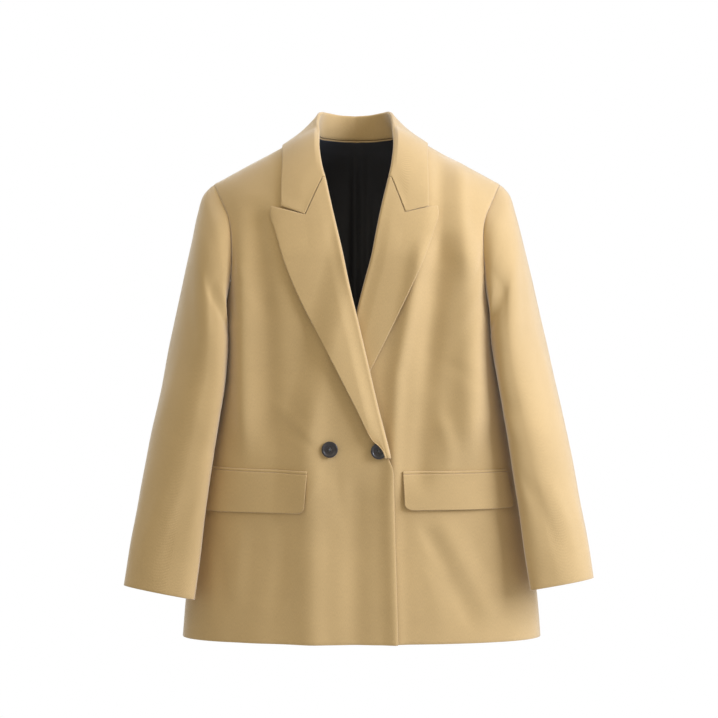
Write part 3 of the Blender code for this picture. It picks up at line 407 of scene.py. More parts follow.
def crease(dx, dy, ax, ay, bow, wide, high, fan):
    """Height of a small crease: a soft line that bows, fans out and dies away at both ends."""
    t, off = beside(dx, dy, ax, ay)
    off = off - bow * 4 * t * (1 - t)
    width = wide * (1 - fan + 2 * fan * np.clip(t, 0, 1))
    return high * smooth(t / 0.35) * smooth((1 - t) / 0.35) * hill(off, width)


def creases(p, table):
    """Height of all the small creases of the table at the surface points p."""
    return sum(crease(p[..., 0] - x1, p[..., 2] - z1, x2 - x1, z2 - z1, *shape, 0.3)
               for x1, z1, x2, z2, *shape in table)


def unevenness(a, b, seed=0.0):
    """Gentle waviness of cloth that has been worn and steamed, from two lengths in mm."""
    out = 0.16 * np.sin(a / 11.0 + 1.3 * np.sin(b / 37.0 + seed) + seed)
    out += 0.20 * np.sin(b / 17.0 + 1.7 * np.sin(a / 29.0 - seed) + 2.1 * seed)
    out += 0.22 * np.sin((a + 0.6 * b) / 23.0 + 2.0 * np.sin(b / 61.0) - seed)
    return out


def lap(p):
    """How far the top front stands out over the under front."""
    edge = np.asarray(UNDER_EDGE, float)
    hidden = hermite(edge[:, 1], edge[:, 0], np.clip(p[..., 2], HEM_Z, edge[-1, 1]))
    high = LAP_HEM + (LAP - LAP_HEM) * smooth((p[..., 2] - LAP_HEM_Z) / LAP_RISE)
    return high * smooth((p[..., 0] - hidden + LAP_START) / LAP_RAMP)


def lift(q, k, out=0.0, back=False, top=False):
    """Point on the body surface moved out by folds, creases, the lap and the distance out,
    and the surface's normal there."""
    p, n = surface(q, k, back), normal(q, k, back)
    calm = smooth((1 - np.abs(np.asarray(q))) / 0.12)
    high = smooth((1 - np.asarray(k)) / 0.10)
    if back:
        move = folds(p, BACK_FOLDS) * calm + creases(p, BACK_CREASES) * calm * high
    else:
        move = folds(p) * high + creases(p, FRONT_CREASES) * calm * high
        if top:
            move = move + lap(p) + folds(p, TOP_FOLDS)
    return p + n * (move + out)[..., None], n


def on_body(x, turn, out):
    """Points on the body moved out: x across, turn 0 at the chest, 1 on the shoulder, 2 behind."""
    k = np.where(turn > 1, 2 - turn, turn)
    q = across(x, CHEST + (ridge(x) - CHEST) * quarter_sine(np.clip(k, 0, 1)))
    return np.where((turn > 1)[:, None], lift(q, k, out, back=True)[0], lift(q, k, out)[0])


# ======================= shells ===========================================================
def placed(name, data):
    """New object of this mesh, curve, lamp or camera, in the scene."""
    ob = bpy.data.objects.new(name, data)
    bpy.context.scene.collection.objects.link(ob)
    return ob


def grid_normals(g):
    return unit(np.cross(np.gradient(g, axis=1), np.gradient(g, axis=0)))


def facing(g, n):
    """The grid's own normals, on the side that n points to."""
    own = grid_normals(g)
    return own * np.sign(np.sum(own * n, axis=-1, keepdims=True))


def inset(g, *edges, gap=SEAM / 2 + LIP):
    """Move edges of the grid, square to themselves, towards their neighbour row or column."""
    for edge in edges:
        a, b = {"left": (g[:, 0], g[:, 1]), "right": (g[:, -1], g[:, -2]),
                "low": (g[0], g[1]), "high": (g[-1], g[-2])}[edge]
        a += square_to(unit(np.gradient(a, axis=0)), b - a) * gap


def across_columns(width, count, left=True):
    """Column places from 0 to 1, closer together near the sewn edges."""
    tight = np.array(SEWN_COLS) / width
    u, room = np.linspace(0, 1, count), tight[-1] * 1.25
    keep = u[((u > room) | (not left)) & (u < 1 - room)]
    return np.unique(np.concatenate([[0.0], tight if left else [], keep, 1 - tight, [1.0]]))


def seam_press(g, n, edges, deep=0.9):
    """Press a shallow ditch along the sewn edges, with a soft swell beside it."""
    u, v = walk(g, 1), walk(g)
    off = {"left": u, "right": u[:, -1:] - u, "low": v, "high": v[-1:] - v}
    for edge in edges:
        g += n * (0.28 * hill(off[edge] - 5.5, 3.6) - deep * hill(off[edge], 1.7))[..., None]


def shell(part, g, thick, mats, n, inside=None, lip=LIP):
    """Closed cloth shell: outer face on the grid g, inner face behind it, rounded edges.
    inside marks the grid's faces whose inner side takes the second material."""
    rows, cols = g.shape[:2]
    inner = g - n * thick
    # once round the rim, and the way out of the piece at each of its points
    rim = [(0, j) for j in range(cols)] + [(i, cols - 1) for i in range(1, rows)]
    rim += [(rows - 1, j) for j in range(cols - 2, -1, -1)]
    rim += [(i, 0) for i in range(rows - 2, 0, -1)]
    i, j = np.array(rim).T
    past = np.zeros((len(rim), 3))
    for edge, out in ((j == 0, g[i, 0] - g[i, 1]), (j == cols - 1, g[i, -1] - g[i, -2]),
                      (i == 0, g[0, j] - g[1, j]), (i == rows - 1, g[-1, j] - g[-2, j])):
        past[edge] += unit(out)[edge]
    past = unit(past)
    mid, half = (g[i, j] + inner[i, j]) / 2, (g[i, j] - inner[i, j]) / 2
    steps = [mid + half * math.sin(a) + past * lip * math.cos(a)
             for a in (math.pi / 4, 0.0, -math.pi / 4)]
    verts = np.concatenate([g.reshape(-1, 3), inner.reshape(-1, 3), *steps])
    count = rows * cols
    at = np.arange(count).reshape(rows, cols)
    quads = np.stack([at[:-1, :-1], at[:-1, 1:], at[1:, 1:], at[1:, :-1]], axis=-1).reshape(-1, 4)
    loop = at[i, j]
    edges = [2 * count + s * len(rim) + np.arange(len(rim)) for s in range(3)]
    rings = [loop, *edges, loop + count]
    faces = [quads, quads[:, ::-1] + count]
    faces += [np.stack([np.roll(a, -1), a, b, np.roll(b, -1)], axis=-1)
              for a, b in zip(rings, rings[1:])]
    faces = np.concatenate(faces)
    mesh = bpy.data.meshes.new(part + "_cloth")
    mesh.vertices.add(len(verts))
    mesh.vertices.foreach_set("co", (verts * MM).astype(np.float32).ravel())
    mesh.loops.add(faces.size)
    mesh.loops.foreach_set("vertex_index", faces.astype(np.int32).ravel())
    mesh.polygons.add(len(faces))
    mesh.polygons.foreach_set("loop_start", np.arange(0, faces.size, 4, dtype=np.int32))
    mesh.update(calc_edges=True)
    for mat in mats:
        mesh.materials.append(mat)
    if inside is not None:
        index = np.zeros(len(faces), np.int32)
        index[len(quads):2 * len(quads)] = inside.ravel()
        mesh.polygons.foreach_set("material_index", index)
    # lengths of the cut along and across the piece, for the weave
    flat = np.stack([walk(g, 1), walk(g)], axis=-1).reshape(-1, 2)
    cut = np.concatenate([flat, flat, flat[loop], flat[loop], flat[loop]]) * MM
    layer = mesh.uv_layers.new(name="cut")
    layer.data.foreach_set("uv", cut[faces.ravel()].astype(np.float32).ravel())
    mesh.polygons.foreach_set("use_smooth", np.ones(len(faces), bool))
    a, b, c, d = (verts[corner] for corner in faces.T)
    if np.sum(a * (np.cross(b, c) + np.cross(c, d))) < 0:
        mesh.flip_normals()
    return placed(part + "_cloth", mesh)


# ======================= cut pieces =======================================================
def spread(line, back, count):
    """count + 1 points of the x, z line, evenly spaced on the body."""
    fine = path(line, np.linspace(0, 1, 200))
    s = walk(surface(*locate(*fine.T), back))
    even = np.linspace(0, s[-1], count + 1)
    return np.stack([np.interp(even, s, column) for column in fine.T], axis=-1)


def edge_curve(rows, side):
    """Inner edge of a front: the front edge and roll line, then the neckline."""
    rows = np.asarray(rows, float)
    x, end = rows[:, 0] + side * rows[:, 2] * ROLL_CLEAR, rows[-1, 1]
    z = np.concatenate([np.linspace(HEM_Z, UNDERARM_Z, LOW),
                        np.linspace(UNDERARM_Z, end, HIGH - NECK + 1)[1:]])
    lower = np.stack([hermite(rows[:, 1], x, z), z], axis=-1)
    line = [(x[-1], end)] + [(side * a, b) for a, b in NECKLINE]
    return np.concatenate([lower, spread(line, False, NECK)[1:]])


def armhole(front=True):
    """Armhole edge from the underarm up to the shoulder point as q, k rows (+X side)."""
    z, x_front, x_back = np.array(ARMHOLE[:0:-1], float).T
    q, k = locate(x_front if front else x_back, z)
    rows = np.stack([[1.0, *q, locate(SHOULDER_X, SHOULDER_Z)[0]], [below(UNDERARM_Z), *k, 1.0]],
                    axis=-1)
    points = surface(*rows.T, not front)
    return path(np.concatenate([rows, points], axis=1), np.linspace(0, 1, HIGH + 1),
                by=slice(2, 5))[:, :2]


def side_curve(side, front=True):
    """Side seam and armhole edge from the hem up as q, k rows."""
    z = np.linspace(HEM_Z, UNDERARM_Z, LOW)
    lower = np.stack([np.full_like(z, side), below(z)], axis=-1)
    return np.concatenate([lower, armhole(front)[1:] * (side, 1)])


def front_grid(side, u):
    """Front from its inner edge to the side; its top is the neckline and shoulder."""
    top = side < 0
    inner = to_shoulder(edge_curve(TOP_EDGE if top else UNDER_EDGE, side))
    outer = side_curve(side).T
    q, k = (a[:, None] * (1 - u) + b[:, None] * u for a, b in zip(inner, outer))
    return lift(q, k, top=top)


def back_grid(side, u):
    """Back panel from the centre back to the side; its top is the neckline and shoulder."""
    outer = side_curve(side, front=False)
    neck_k = float(locate(0.0, NECK_BACK)[1])
    mid_k = np.concatenate([below(np.linspace(HEM_Z, UNDERARM_Z, LOW)),
                            np.linspace(below(UNDERARM_Z), neck_k, HIGH + 1)[1:]])
    qq = outer[:, :1] * u
    kk = mid_k[:, None] * (1 - u) + outer[:, 1:] * u
    q_neck, k_neck = to_shoulder(spread(BACK_NECKLINE, True, BACK_NECK))
    share = 0.4            # of the top edge's columns lie on the neckline
    on_neck = np.linspace(0, 1, BACK_NECK + 1)
    along = q_neck[-1] + (abs(outer[-1, 0]) - q_neck[-1]) * (u - share) / (1 - share)
    top_q = np.where(u < share, np.interp(u / share, on_neck, q_neck), along)
    top_k = np.where(u < share, np.interp(u / share, on_neck, k_neck), 1.0)
    # the rows turn to the neckline's shape from a little below the underarm
    steps = LOW / 13
    fade = smooth((np.arange(LOW + HIGH) - (LOW - 4 * steps)) / (HIGH + 3.0 * steps))[:, None]
    fade /= fade[-1]
    return lift(qq + (top_q * side - qq[-1]) * fade, kk + (top_k - kk[-1]) * fade, back=True)


def settle(g, seed):
    """Add the gentle waviness to a grid, along its own normals."""
    wave = unevenness(g[..., 0] + 0.7 * g[..., 1], g[..., 2], seed) * 0.8
    return g + grid_normals(g) * wave[..., None]


def build_front(side, part, mats, seed):
    """One front, with its facing of the same cloth and the lining inside."""
    g, n = front_grid(side, across_columns(FRONT_W, FRONT_COLS, left=False))
    g = settle(g, seed)
    inset(g, "left", gap=TURNED)
    inset(g, "right", "high")
    inset(g, "low", gap=LIP)
    seam_press(g, n, ("right", "high"), 0.6)
    rows, cols = g.shape[:2]
    i, j = np.mgrid[0:rows - 1, 0:cols - 1]
    # inside, the lining starts past the facing, the hem and the armhole's and shoulder's edges
    past_edges = (i > HEM_ROWS) & (i < rows - 6) & ((i < LOW) | (j < cols - 8))
    lined = past_edges & (j > FACING_COLS)
    return shell(part, g, CLOTH, mats, facing(g, n), inside=lined)


def build_back(side, part, mats, seed):
    """One back, from the centre back seam to the side seam."""
    g, n = back_grid(side, across_columns(BACK_W, BACK_COLS))
    g = settle(g, seed)
    inset(g, "left", "right", "high")
    inset(g, "low", gap=LIP)
    seam_press(g, n, ("left", "right", "high"))
    return shell(part, g, CLOTH, mats, facing(g, n))


def build_lining(part, mats):
    """Back lining inside both backs: pleat down the centre back, loose ripples across."""
    u = np.linspace(0, 1, LINING_COLS)
    right, left = np.array(back_grid(-1, u)), np.array(back_grid(1, u))
    # both halves side by side, from a little above the hem
    g, n = np.concatenate([right[:, :, ::-1], left[:, :, 1:]], axis=2)[:, 7:]
    x, z = g[..., 0], g[..., 2]
    pleat = 3.4 * smooth((x + 13) / 9) * smooth((11 - x) / 20) + 1.2 * hill(x - 17, 6)
    pleat *= 0.25 + 0.75 * smooth((NECK_BACK - 3 - z) / 40)
    ripple = 0.55 * (1 + np.sin(x / 19 + 1.4 * np.sin(z / 47)))
    top = 0.5 * hill(z - NECK_BACK + 12, 4.0)
    g = g - n * (CLOTH + 1.4 + (pleat + ripple + top)[..., None])
    inset(g, "left", "right", gap=4.5)
    inset(g, "high", gap=1.0)
    return shell(part, g, LINING, mats, facing(g, n), lip=0.3)


def lapel_lines(side, v, cols):
    """Lapel rows at v from the break to the gorge: the turned edge of the front with its
    frame, and the leaf's columns with their heights above the body."""
    top = side < 0
    roll = path([r[:2] for r in (TOP_EDGE if top else UNDER_EDGE) if r[2] == 1], v)
    edge = path(TOP_LAPEL if top else UNDER_LAPEL, v, by=slice(0, 2))
    notch = np.array(TOP_NOTCH if top else UNDER_NOTCH, float)
    # knee: the corner of the notch, as a share of the top row
    knee = np.linalg.norm(notch - roll[-1])
    knee /= knee + np.linalg.norm(edge[-1, :2] - notch)
    half = (cols + 1) // 2
    u = np.concatenate([np.linspace(0, knee, half), np.linspace(knee, 1, cols - half + 1)[1:]])
    leaf = roll[:, None] * (1 - u[:, None]) + edge[:, None, :2] * u[:, None]
    tent = np.minimum(u / knee, (1 - u) / (1 - knee))
    fade = smooth((v - 0.62) / 0.38) ** 1.5
    drop = notch - roll[-1] * (1 - knee) - edge[-1, :2] * knee
    leaf += drop * (tent[:, None] * fade[:, None, None])
    reach = 1 + (knee - 1) * fade[:, None]
    leaf[..., 0] += side * ROLL_CLEAR * np.maximum(1 - u / reach, 0)
    width = np.linalg.norm(edge[:, :2] - roll, axis=1)[:, None]
    near = smooth(u * width / 22) * (0.45 + 0.55 * u)
    roomy = np.minimum(1, width / 30) * (1.2 if top else 0.5)
    out = edge[:, 3:4] - CLOTH / 2 + edge[:, 2:3] * near + np.sin(np.pi * u) * roomy
    x, z = leaf[:, 0].T
    p0, behind = (lift(*locate(x + side * d, z), -CLOTH / 2, top=top)[0] for d in (0, 4))
    over = unit(p0 - behind)
    n0 = unit(np.cross(np.gradient(p0, axis=0), over) * side)
    return leaf, out, edge[:, 3:4], p0, n0, over, u


def lapel_top(side):
    """The last rows of the lapel, at the gorge."""
    return lapel_lines(side, np.array([0.98, 1.0]), 8)


def turned(p0, n0, over, radius, arc):
    """Rows of points on the roll round a turned edge, from inside to outside."""
    mid, r = (radius - WRAP) / 2, (radius + WRAP) / 2
    return [p0 + n0 * (mid + r * math.cos(b)) + over * r * math.sin(b)
            for b in np.linspace(math.pi, 0, arc + 2)]


def build_lapel(side, part, mats, rows=150, cols=46, arc=13):
    """Lapel: a short leg inside the front, the roll round its edge, and the leaf outside."""
    top = side < 0
    v = np.linspace(0, 1, rows) ** 0.9
    leaf, out, radius, p0, n0, over, u = lapel_lines(side, v, cols)
    # the leaf springs a little unevenly off the front
    out = out + 0.35 * np.sin(v[:, None] * 9.0 + 3.0 * u) * np.sin(np.pi * u)
    g, n = lift(*locate(leaf[..., 0], leaf[..., 1]), out, top=top)
    x, z = leaf[:, 0].T
    leg = [lift(*locate(x + side * d, z), -CLOTH / 2 - WRAP, top=top)[0] for d in (14.0, 9.5, 5.0)]
    ring = turned(p0, n0, over, radius, arc)
    # the leaf starts where the roll ends
    away = np.linalg.norm(g - g[:, :1], axis=-1)
    g += (ring.pop() - g[:, 0])[:, None] * (1 - smooth(away / 16))[..., None]
    full = np.concatenate([np.stack(leg + ring, axis=1), g], axis=1)
    inset(full, "high")
    inset(full, "right", gap=TURNED)
    own = grid_normals(full)
    return shell(part, full, LAPEL, mats, own * np.sign(np.sum(own[:, -2] * n[:, -2])))


def neck_seam(side, steps):
    """Neck seam of one side from the centre back to the gorge: points and normals."""
    back = lift(*to_shoulder(spread(BACK_NECKLINE, True, 4 * steps) * (side, 1)), back=True)
    roll = (UNDER_EDGE if side > 0 else TOP_EDGE)[-1]
    line = [(roll[0] + side * ROLL_CLEAR, roll[1])] + [(side * x, z) for x, z in NECKLINE]
    front = lift(*to_shoulder(spread(line, False, 5 * steps)), top=side < 0)
    return [np.concatenate([b, f[-2::-1]]) for b, f in zip(back, front)]


def collar_rows(side, steps, table):
    """Places on the fold that stand square to the neck seam, one for each seam point."""
    seam, _ = neck_seam(side, 1)
    tangent = unit(np.gradient(seam, axis=0))
    tangent[0] = (side, 0, 0)
    count = 2000
    fine = path(table, np.linspace(0, 1, count), by=slice(2, 5))
    line = fine[:, 2:5] * (side, 1, 1)
    pick = [0]
    for i in range(1, len(seam) - 1):
        off = np.abs((line - seam[i]) @ tangent[i])
        pick.append(pick[-1] + 1 + int(np.argmin(off[pick[-1] + 1:])))
    knots = np.array(pick + [count - 1]) / (count - 1)
    at = np.linspace(0, 1, 9 * steps + 1)
    return path(table, hermite(np.linspace(0, 1, len(knots)), knots, at), by=slice(2, 5)), at


def body_tree():
    """Search tree of the body surface near the neck, front and back."""
    wide, tall = 161, 89
    q, k = np.meshgrid(np.linspace(-1, 1, wide), np.linspace(-0.1, 1, tall))
    verts, faces = [], []
    for back in (False, True):
        base = len(verts)
        verts += lift(q, k, back=back)[0].reshape(-1, 3).tolist()
        for i in range(tall - 1):
            for a in range(base + i * wide, base + (i + 1) * wide - 1):
                ring = (a, a + 1, a + wide + 1, a + wide)
                faces.append(ring[::-1] if back else ring)
    return BVHTree.FromPolygons(verts, faces)


def rest_on(g, free, tree):
    """Move the leaf's points out where they come too near the body."""
    crown = np.sin(np.linspace(1 / g.shape[1], 1, g.shape[1]) * math.pi)
    for _ in range(2):
        for i, j in np.ndindex(g.shape[:2]):
            at = Vector(g[i, j])
            base, n, _, _ = tree.find_nearest(at)
            short = LEAF_REST + crown[j] - (at - base).dot(n)
            if short > 0:
                g[i, j] += np.array(n) * short * free[i]


def collar_end(side, stand, arc, leaf):
    """End row of the collar beside the lapel: round the front's edge, down the gorge seam to
    the notch, then along the end of the leaf."""
    lines, out, radius, p0, n0, over, _ = lapel_top(side)
    ring = np.stack(turned(p0, n0, over, radius, arc), axis=1)[-1]
    leg = ring[0] - over[-1] * COLLAR_LEG * np.linspace(1, 0, stand)[:, None]
    ring = np.concatenate([leg, ring[1:]])
    ring += unit(p0[1] - p0[0]) * COLLAR_GAP
    stops = np.array([lines[-1, 0] + (side * 0.75, 0.75), lines[-1, 3] + (side * 0.62, 1.17),
                      (side * COLLAR[-1][5] + COLLAR_SHIFT, COLLAR[-1][6])])
    high = (out[-1, 0], out[-1, 3], LEAF_REST + 0.3)
    s = np.linspace(0, 2, leaf + 1)[1:]
    x, z, height = [np.interp(s, (0, 1, 2), values) for values in (*stops.T, high)]
    return np.concatenate([ring, lift(*locate(x, z), height, top=side < 0)[0]])


def build_collar(part, mats, steps=8, stand=9, arc=11, leaf=26):
    """One folded shell from gorge to gorge: stand, fold and leaf."""
    table = np.asarray(COLLAR, float)
    k = locate(table[:, 5], table[:, 6])[1]
    turn = np.where(table[:, 3] == 0, 1.0, np.where(table[:, 3] > 0, 2 - k, k))
    table = np.column_stack([table, turn])
    tree = body_tree()
    grids = []
    for side in (1, -1):
        seam, seam_n = neck_seam(side, steps)
        rows, w = collar_rows(side, steps, table)
        tangent = np.gradient(seam, axis=0)
        tangent[0] = (side, 0, 0)
        tangent = unit(tangent)
        slide = 1 - smooth((w - 0.3) / 0.5)
        fold = rows[:, 2:5] * (side, 1, 1) + slide[:, None] * (COLLAR_SHIFT, 0, 0)
        neck = seam - seam_n * CLOTH
        radius = rows[:, 7:8]
        # from standing up at the back of the neck to turned over the front's edge
        over = lapel_top(side)[5][-1]
        turned_in = smooth((w - 0.42) / 0.2)[:, None]
        up = square_to(tangent, fold - neck) * (1 - turned_in) + over * turned_in
        up = square_to(tangent, up)
        out_dir = np.cross(up, tangent) * side
        at, *past = np.asarray(OVERHANG, float).T
        past = hermite(at, past[0 if side < 0 else 1], w)[:, None]
        rolled = seam - seam_n * CLOTH / 2 + up * past - out_dir * radius
        onto = smooth((w - 0.45) / 0.25)[:, None]
        fold = fold * (1 - onto) + rolled * onto
        rise = np.maximum(0, np.sum(seam_n * up, axis=1, keepdims=True))
        neck = neck + up * (CLOTH * rise + 0.7)
        tuck = smooth((w - 0.42) / 0.25)[:, None]
        neck = neck * (1 - tuck) + (fold - up * COLLAR_LEG) * tuck
        cols = [neck + (fold - neck) * s for s in np.linspace(0, 1, stand)]
        for b in np.linspace(0, math.pi, arc + 2)[1:]:
            cols.append(fold + out_dir * radius * (1 - math.cos(b)) + up * radius * math.sin(b))
        start = cols[-1]
        edge = on_body(side * rows[:, 5] + COLLAR_SHIFT, rows[:, 8], LEAF_REST)
        cols += [start * (1 - s) + edge * s for s in np.linspace(0, 1, leaf + 1)[1:]]
        g = np.stack(cols, axis=1)
        fade = smooth((w - 0.55) / 0.45) ** 1.2
        g += (collar_end(side, stand, arc, leaf) - g[-1]) * fade[:, None, None]
        rest_on(g[:, -leaf:], 1 - smooth((w - 0.8) / 0.2), tree)
        grids.append(g)
    full = np.concatenate([grids[1][::-1], grids[0][1:]], axis=0)
    # even out the leaf between its rows
    for _ in range(3):
        mean = (full[:-2, -leaf:] + full[2:, -leaf:]) / 2
        full[1:-1, -leaf:] = full[1:-1, -leaf:] * 0.5 + mean * 0.5
    inset(full, "right", gap=TURNED)
    n = grid_normals(full)
    # inside the back of the neck the outer face looks forward
    return shell(part, full, LAPEL, mats, -n if n[9 * steps, 0, 1] > 0 else n)


def sleeve_grid(table, side, rows=120):
    """Sleeve as rings: columns round the arm from the underarm up the front, over the
    shoulder and down the back, rows from the armhole to the cuff."""
    front, back = armhole().T, armhole(False).T
    ring0, seam_n = (np.concatenate([f(*front), f(*back, True)[-2::-1]]) * (side, 1, 1)
                     for f in (surface, normal))
    s = walk(ring0)
    top = HIGH
    angle = np.where(np.arange(len(s)) <= top, math.pi * (1 - s / s[top]),
                     -math.pi * (s - s[top]) / (s[-1] - s[top]))
    t = np.concatenate([[0, 0.0012, 0.003, 0.0055, 0.0085], np.linspace(0.0125, 1, rows)])
    out_x, out_z, in_x, in_z, y, deep = path(table, t).T
    outer, inner = np.stack([out_x, y, out_z], axis=-1), np.stack([in_x, y, in_z], axis=-1)
    e1 = (outer - inner) / 2
    tilt = SLEEVE_TURN * smooth(t / 0.45)
    # the more a ring's depth turns, the narrower it is, so the sleeve keeps its width
    e1[:, 0] *= np.sqrt(np.maximum(1 - 0.58 * (deep * np.sin(tilt) / e1[:, 0]) ** 2, 0.35))
    e2 = np.stack([-side * np.sin(tilt) * deep, -np.cos(tilt) * deep, 0 * t], axis=-1)
    c, sn = np.cos(angle)[None], np.sin(angle)[None]
    # fullness that stands over the front of the armhole
    ahead = np.clip(-2 * c * sn, 0, 1)
    full = ahead * (smooth(t / 0.09) * (1 - smooth((t - 0.07) / 0.24)))[:, None]
    # the corner in front of the body is squarer than the rest of the ring
    corner = np.where((c < 0) & (sn > 0), 1 / (1 + 0.5 * smooth(t / 0.40)[:, None]), 1.0)
    c, sn = (np.sign(v) * np.abs(v) ** corner for v in (c, sn))
    g = ((outer + inner) / 2)[:, None] + e1[:, None] * c[..., None] + e2[:, None] * sn[..., None]
    g += (ring0 - g[0])[None] * (1 - smooth(t / 0.16))[:, None, None]
    g += full[..., None] * np.array([9.0 if side < 0 else -4.0, -10.0, 0.0])
    keep_off(g, side, t)
    g[0] = ring0
    return g, seam_n, t, angle


def keep_off(g, side, t):
    """Flatten the inside of a hanging sleeve where it would press into the body."""
    y, z = g[..., 1], g[..., 2]
    a, f, b, shift, power = section(z)
    power = np.where(y < 0, power, np.minimum(power, BACK_POWER))
    near = np.power(np.clip(1 - (np.abs(y) / np.where(y < 0, f, b)) ** power, 0, 1), 1 / power)
    body = side * shift + a * near
    pocket = smooth((z - FLAP_LOW) / 20) * smooth((FLAP_HIGH - z) / 20) * (y < -30)
    away = 1.0 + 2.4 * smooth(t / 0.06) + 1.2 * smooth(t / 0.3)
    swell = np.maximum(folds(np.stack([side * body, y, z], axis=-1)), 0) * (y < 0)
    need = body + away[:, None] + 0.8 * (y > 20) + 5.0 * pocket + swell
    short = np.maximum(need - side * g[..., 0], 0) * smooth((CHEST + 8 - z) / 16)
    g[..., 0] += side * short


def sleeve_creases(t, degrees, mirror):
    """Heights of the sleeve's creases; mirror shifts them a little for the other arm."""
    out = 0.0
    for i, (t1, a1, t2, a2, *shape) in enumerate(SLEEVE_CREASES):
        t1, t2 = t1 + mirror * 0.03 * ((i % 3) - 1), t2 + mirror * 0.02 * ((i % 4) - 1.5)
        a1, a2 = a1 + mirror * 6 * ((i % 5) - 2), a2 + mirror * 5 * ((i % 3) - 1)
        out = out + crease((t - t1) * SLEEVE_L,
                           ((degrees - a1 + 180) % 360 - 180) / 360 * SLEEVE_GIRTH,
                           (t2 - t1) * SLEEVE_L, (a2 - a1) / 360 * SLEEVE_GIRTH, *shape, 0.2)
    return out


def build_sleeve(table, side, parts, mats, seed):
    """Top sleeve and under sleeve, cut from one tube at the front and back seams."""
    g, seam_n, t, angle = sleeve_grid(table, side)
    n = grid_normals(np.concatenate([g[:, -2:-1], g, g[:, 1:2]], axis=1))[:, 1:-1]
    if np.sum(n[8:] * (g - g.mean(axis=1, keepdims=True))[8:]) < 0:
        n = -n
    n[:, 0] = n[:, -1] = unit(n[:, 0] + n[:, -1])
    # fullness of the sleeve head, creases and waviness
    degrees, t = np.degrees(angle)[None], t[:, None]
    head = 0.5 * hill(t - 0.02, 0.022) * smooth((np.cos(angle) + 0.1) / 0.9)
    rough = unevenness(degrees * 0.9, t * SLEEVE_L, seed) * smooth((180 - np.abs(degrees)) / 40)
    marks = sleeve_creases(t, degrees, 0.0 if side > 0 else 1.0)
    move = head + smooth((t - 0.01) / 0.05) * (marks + 0.8 * rough)
    ease = np.where(np.cos(angle) < -0.5, 0.35, 1.0)
    g = g + n * (move * np.where(move < 0, 1, ease))[..., None]
    # the first rows turn with the seam, so that the sleeve meets the body without a step
    share = smooth((np.sum(seam_n * n[3], axis=-1, keepdims=True) + 0.1) / 0.7)
    valley = unit(seam_n + n[3] + np.array([0, 0, -0.3]))
    for i in range(4):
        w = 1 - i / 4
        n[i] = unit((seam_n * share + valley * (1 - share)) * w + n[4] * (1 - w))
    cols = g.shape[1]
    front_seam, back_seam = HIGH // 10, cols - 4 * (HIGH // 10)
    order = np.arange(cols)
    under = np.concatenate([order[back_seam - 1:-1], order[:front_seam + 1]])
    made = []
    for part, pick in zip(parts, (order[front_seam:back_seam], under)):
        piece, pn = g[:, pick].copy(), n[:, pick]
        inset(piece, "low", gap=LIP - 0.3)
        inset(piece, "high", gap=LIP)
        inset(piece, "left", "right")
        seam_press(piece, pn, ("left", "right", "low"), 0.5)
        i = np.mgrid[0:len(piece) - 1, 0:len(pick) - 1][0]
        lined = (i > 14) & (i < len(piece) - HEM_ROWS)
        made.append(shell(part, piece, CLOTH, mats, pn, inside=lined))
    return made


def build_pocket(row, side, parts, mats):
    """Jet and flap of one pocket, laid on the front."""
    q0, q1, jt0, jt1, ft0, ft1, fb0, fb1 = row
    s = across_columns(FLAP_W, FLAP_COLS)

    def strip(start, end, v, out, corner=0):
        """Rows from the line start to the line end, each given by its inner and outer height."""
        first, last = (a + (b - a) * s for a, b in (start, end))
        z = first * (1 - v) + (last + corner) * v
        q = np.broadcast_to(q0 + (q1 - q0) * s, z.shape)
        return lift(q, below(z), REST + out, top=side < 0)

    v = np.linspace(0, 1, 7)[:, None]
    g, n = strip((ft0 + 0.5, ft1 + 0.5), (jt0, jt1), v, JET_WALL + 0.5 * np.sin(np.pi * v))
    jet = shell(parts[0], g, JET_WALL, mats, n, lip=0.45)
    # the flap's lower corners are rounded
    d = np.minimum(np.minimum(s, 1 - s) * FLAP_W / FLAP_CORNER, 1)
    corner = FLAP_CORNER * (1 - np.sqrt(np.clip(1 - (1 - d) ** 2, 0, 1)))
    v = np.concatenate([np.linspace(0, 0.94, 30), [0.965, 0.985, 1.0]])[:, None]
    wave = 0.5 * v ** 2 * np.sin(s * 9.0 + (1.0 if side < 0 else 3.0))
    g, n = strip((ft0 - 0.4, ft1 - 0.4), (fb0, fb1), v, FLAP_WALL + 2.2 * v + wave, corner)
    return jet, shell(parts[1], g[::-1], FLAP_WALL * 0.85, mats, n[::-1], lip=0.6)


# ======================= finishes =========================================================
def node(tree, kind, out, values=(), **settings):
    """Add a shader node, set it, and fill its sockets. Gives back the output named out."""
    made = tree.nodes.new("ShaderNode" + kind)
    for key, value in settings.items():
        setattr(made, key, value)
    plug(tree, made, dict(values))
    return made.outputs[out] if out else made


def plug(tree, made, values):
    """Fill sockets of a shader node, each with a value or a link from another output."""
    for key, value in values.items():
        if isinstance(value, bpy.types.NodeSocket):
            tree.links.new(value, made.inputs[key])
        else:
            made.inputs[key].default_value = value


def material(name):
    made = bpy.data.materials.new(name)
    made.use_nodes = True
    return made, made.node_tree, made.node_tree.nodes["Principled BSDF"]


def blend(tree, a, b, share, kind="MIX"):
    """Colour between the colours a and b."""
    return node(tree, "Mix", "Result", {"Factor": share, "A": a, "B": b},
                data_type="RGBA", blend_type=kind)


def scaled(tree, value, low, high, start=0.0, end=1.0):
    """Value brought from the range start to end into the range low to high."""
    return node(tree, "MapRange", "Result", {"Value": value, "From Min": start, "From Max": end,
                                             "To Min": low, "To Max": high})


def relief(tree, height, strength, depth, under=None):
    """Relief of the height, on top of the one under it."""
    below_it = {} if under is None else {"Normal": under}
    return node(tree, "Bump", "Normal",
                {"Height": height, "Strength": strength, "Distance": depth, **below_it})


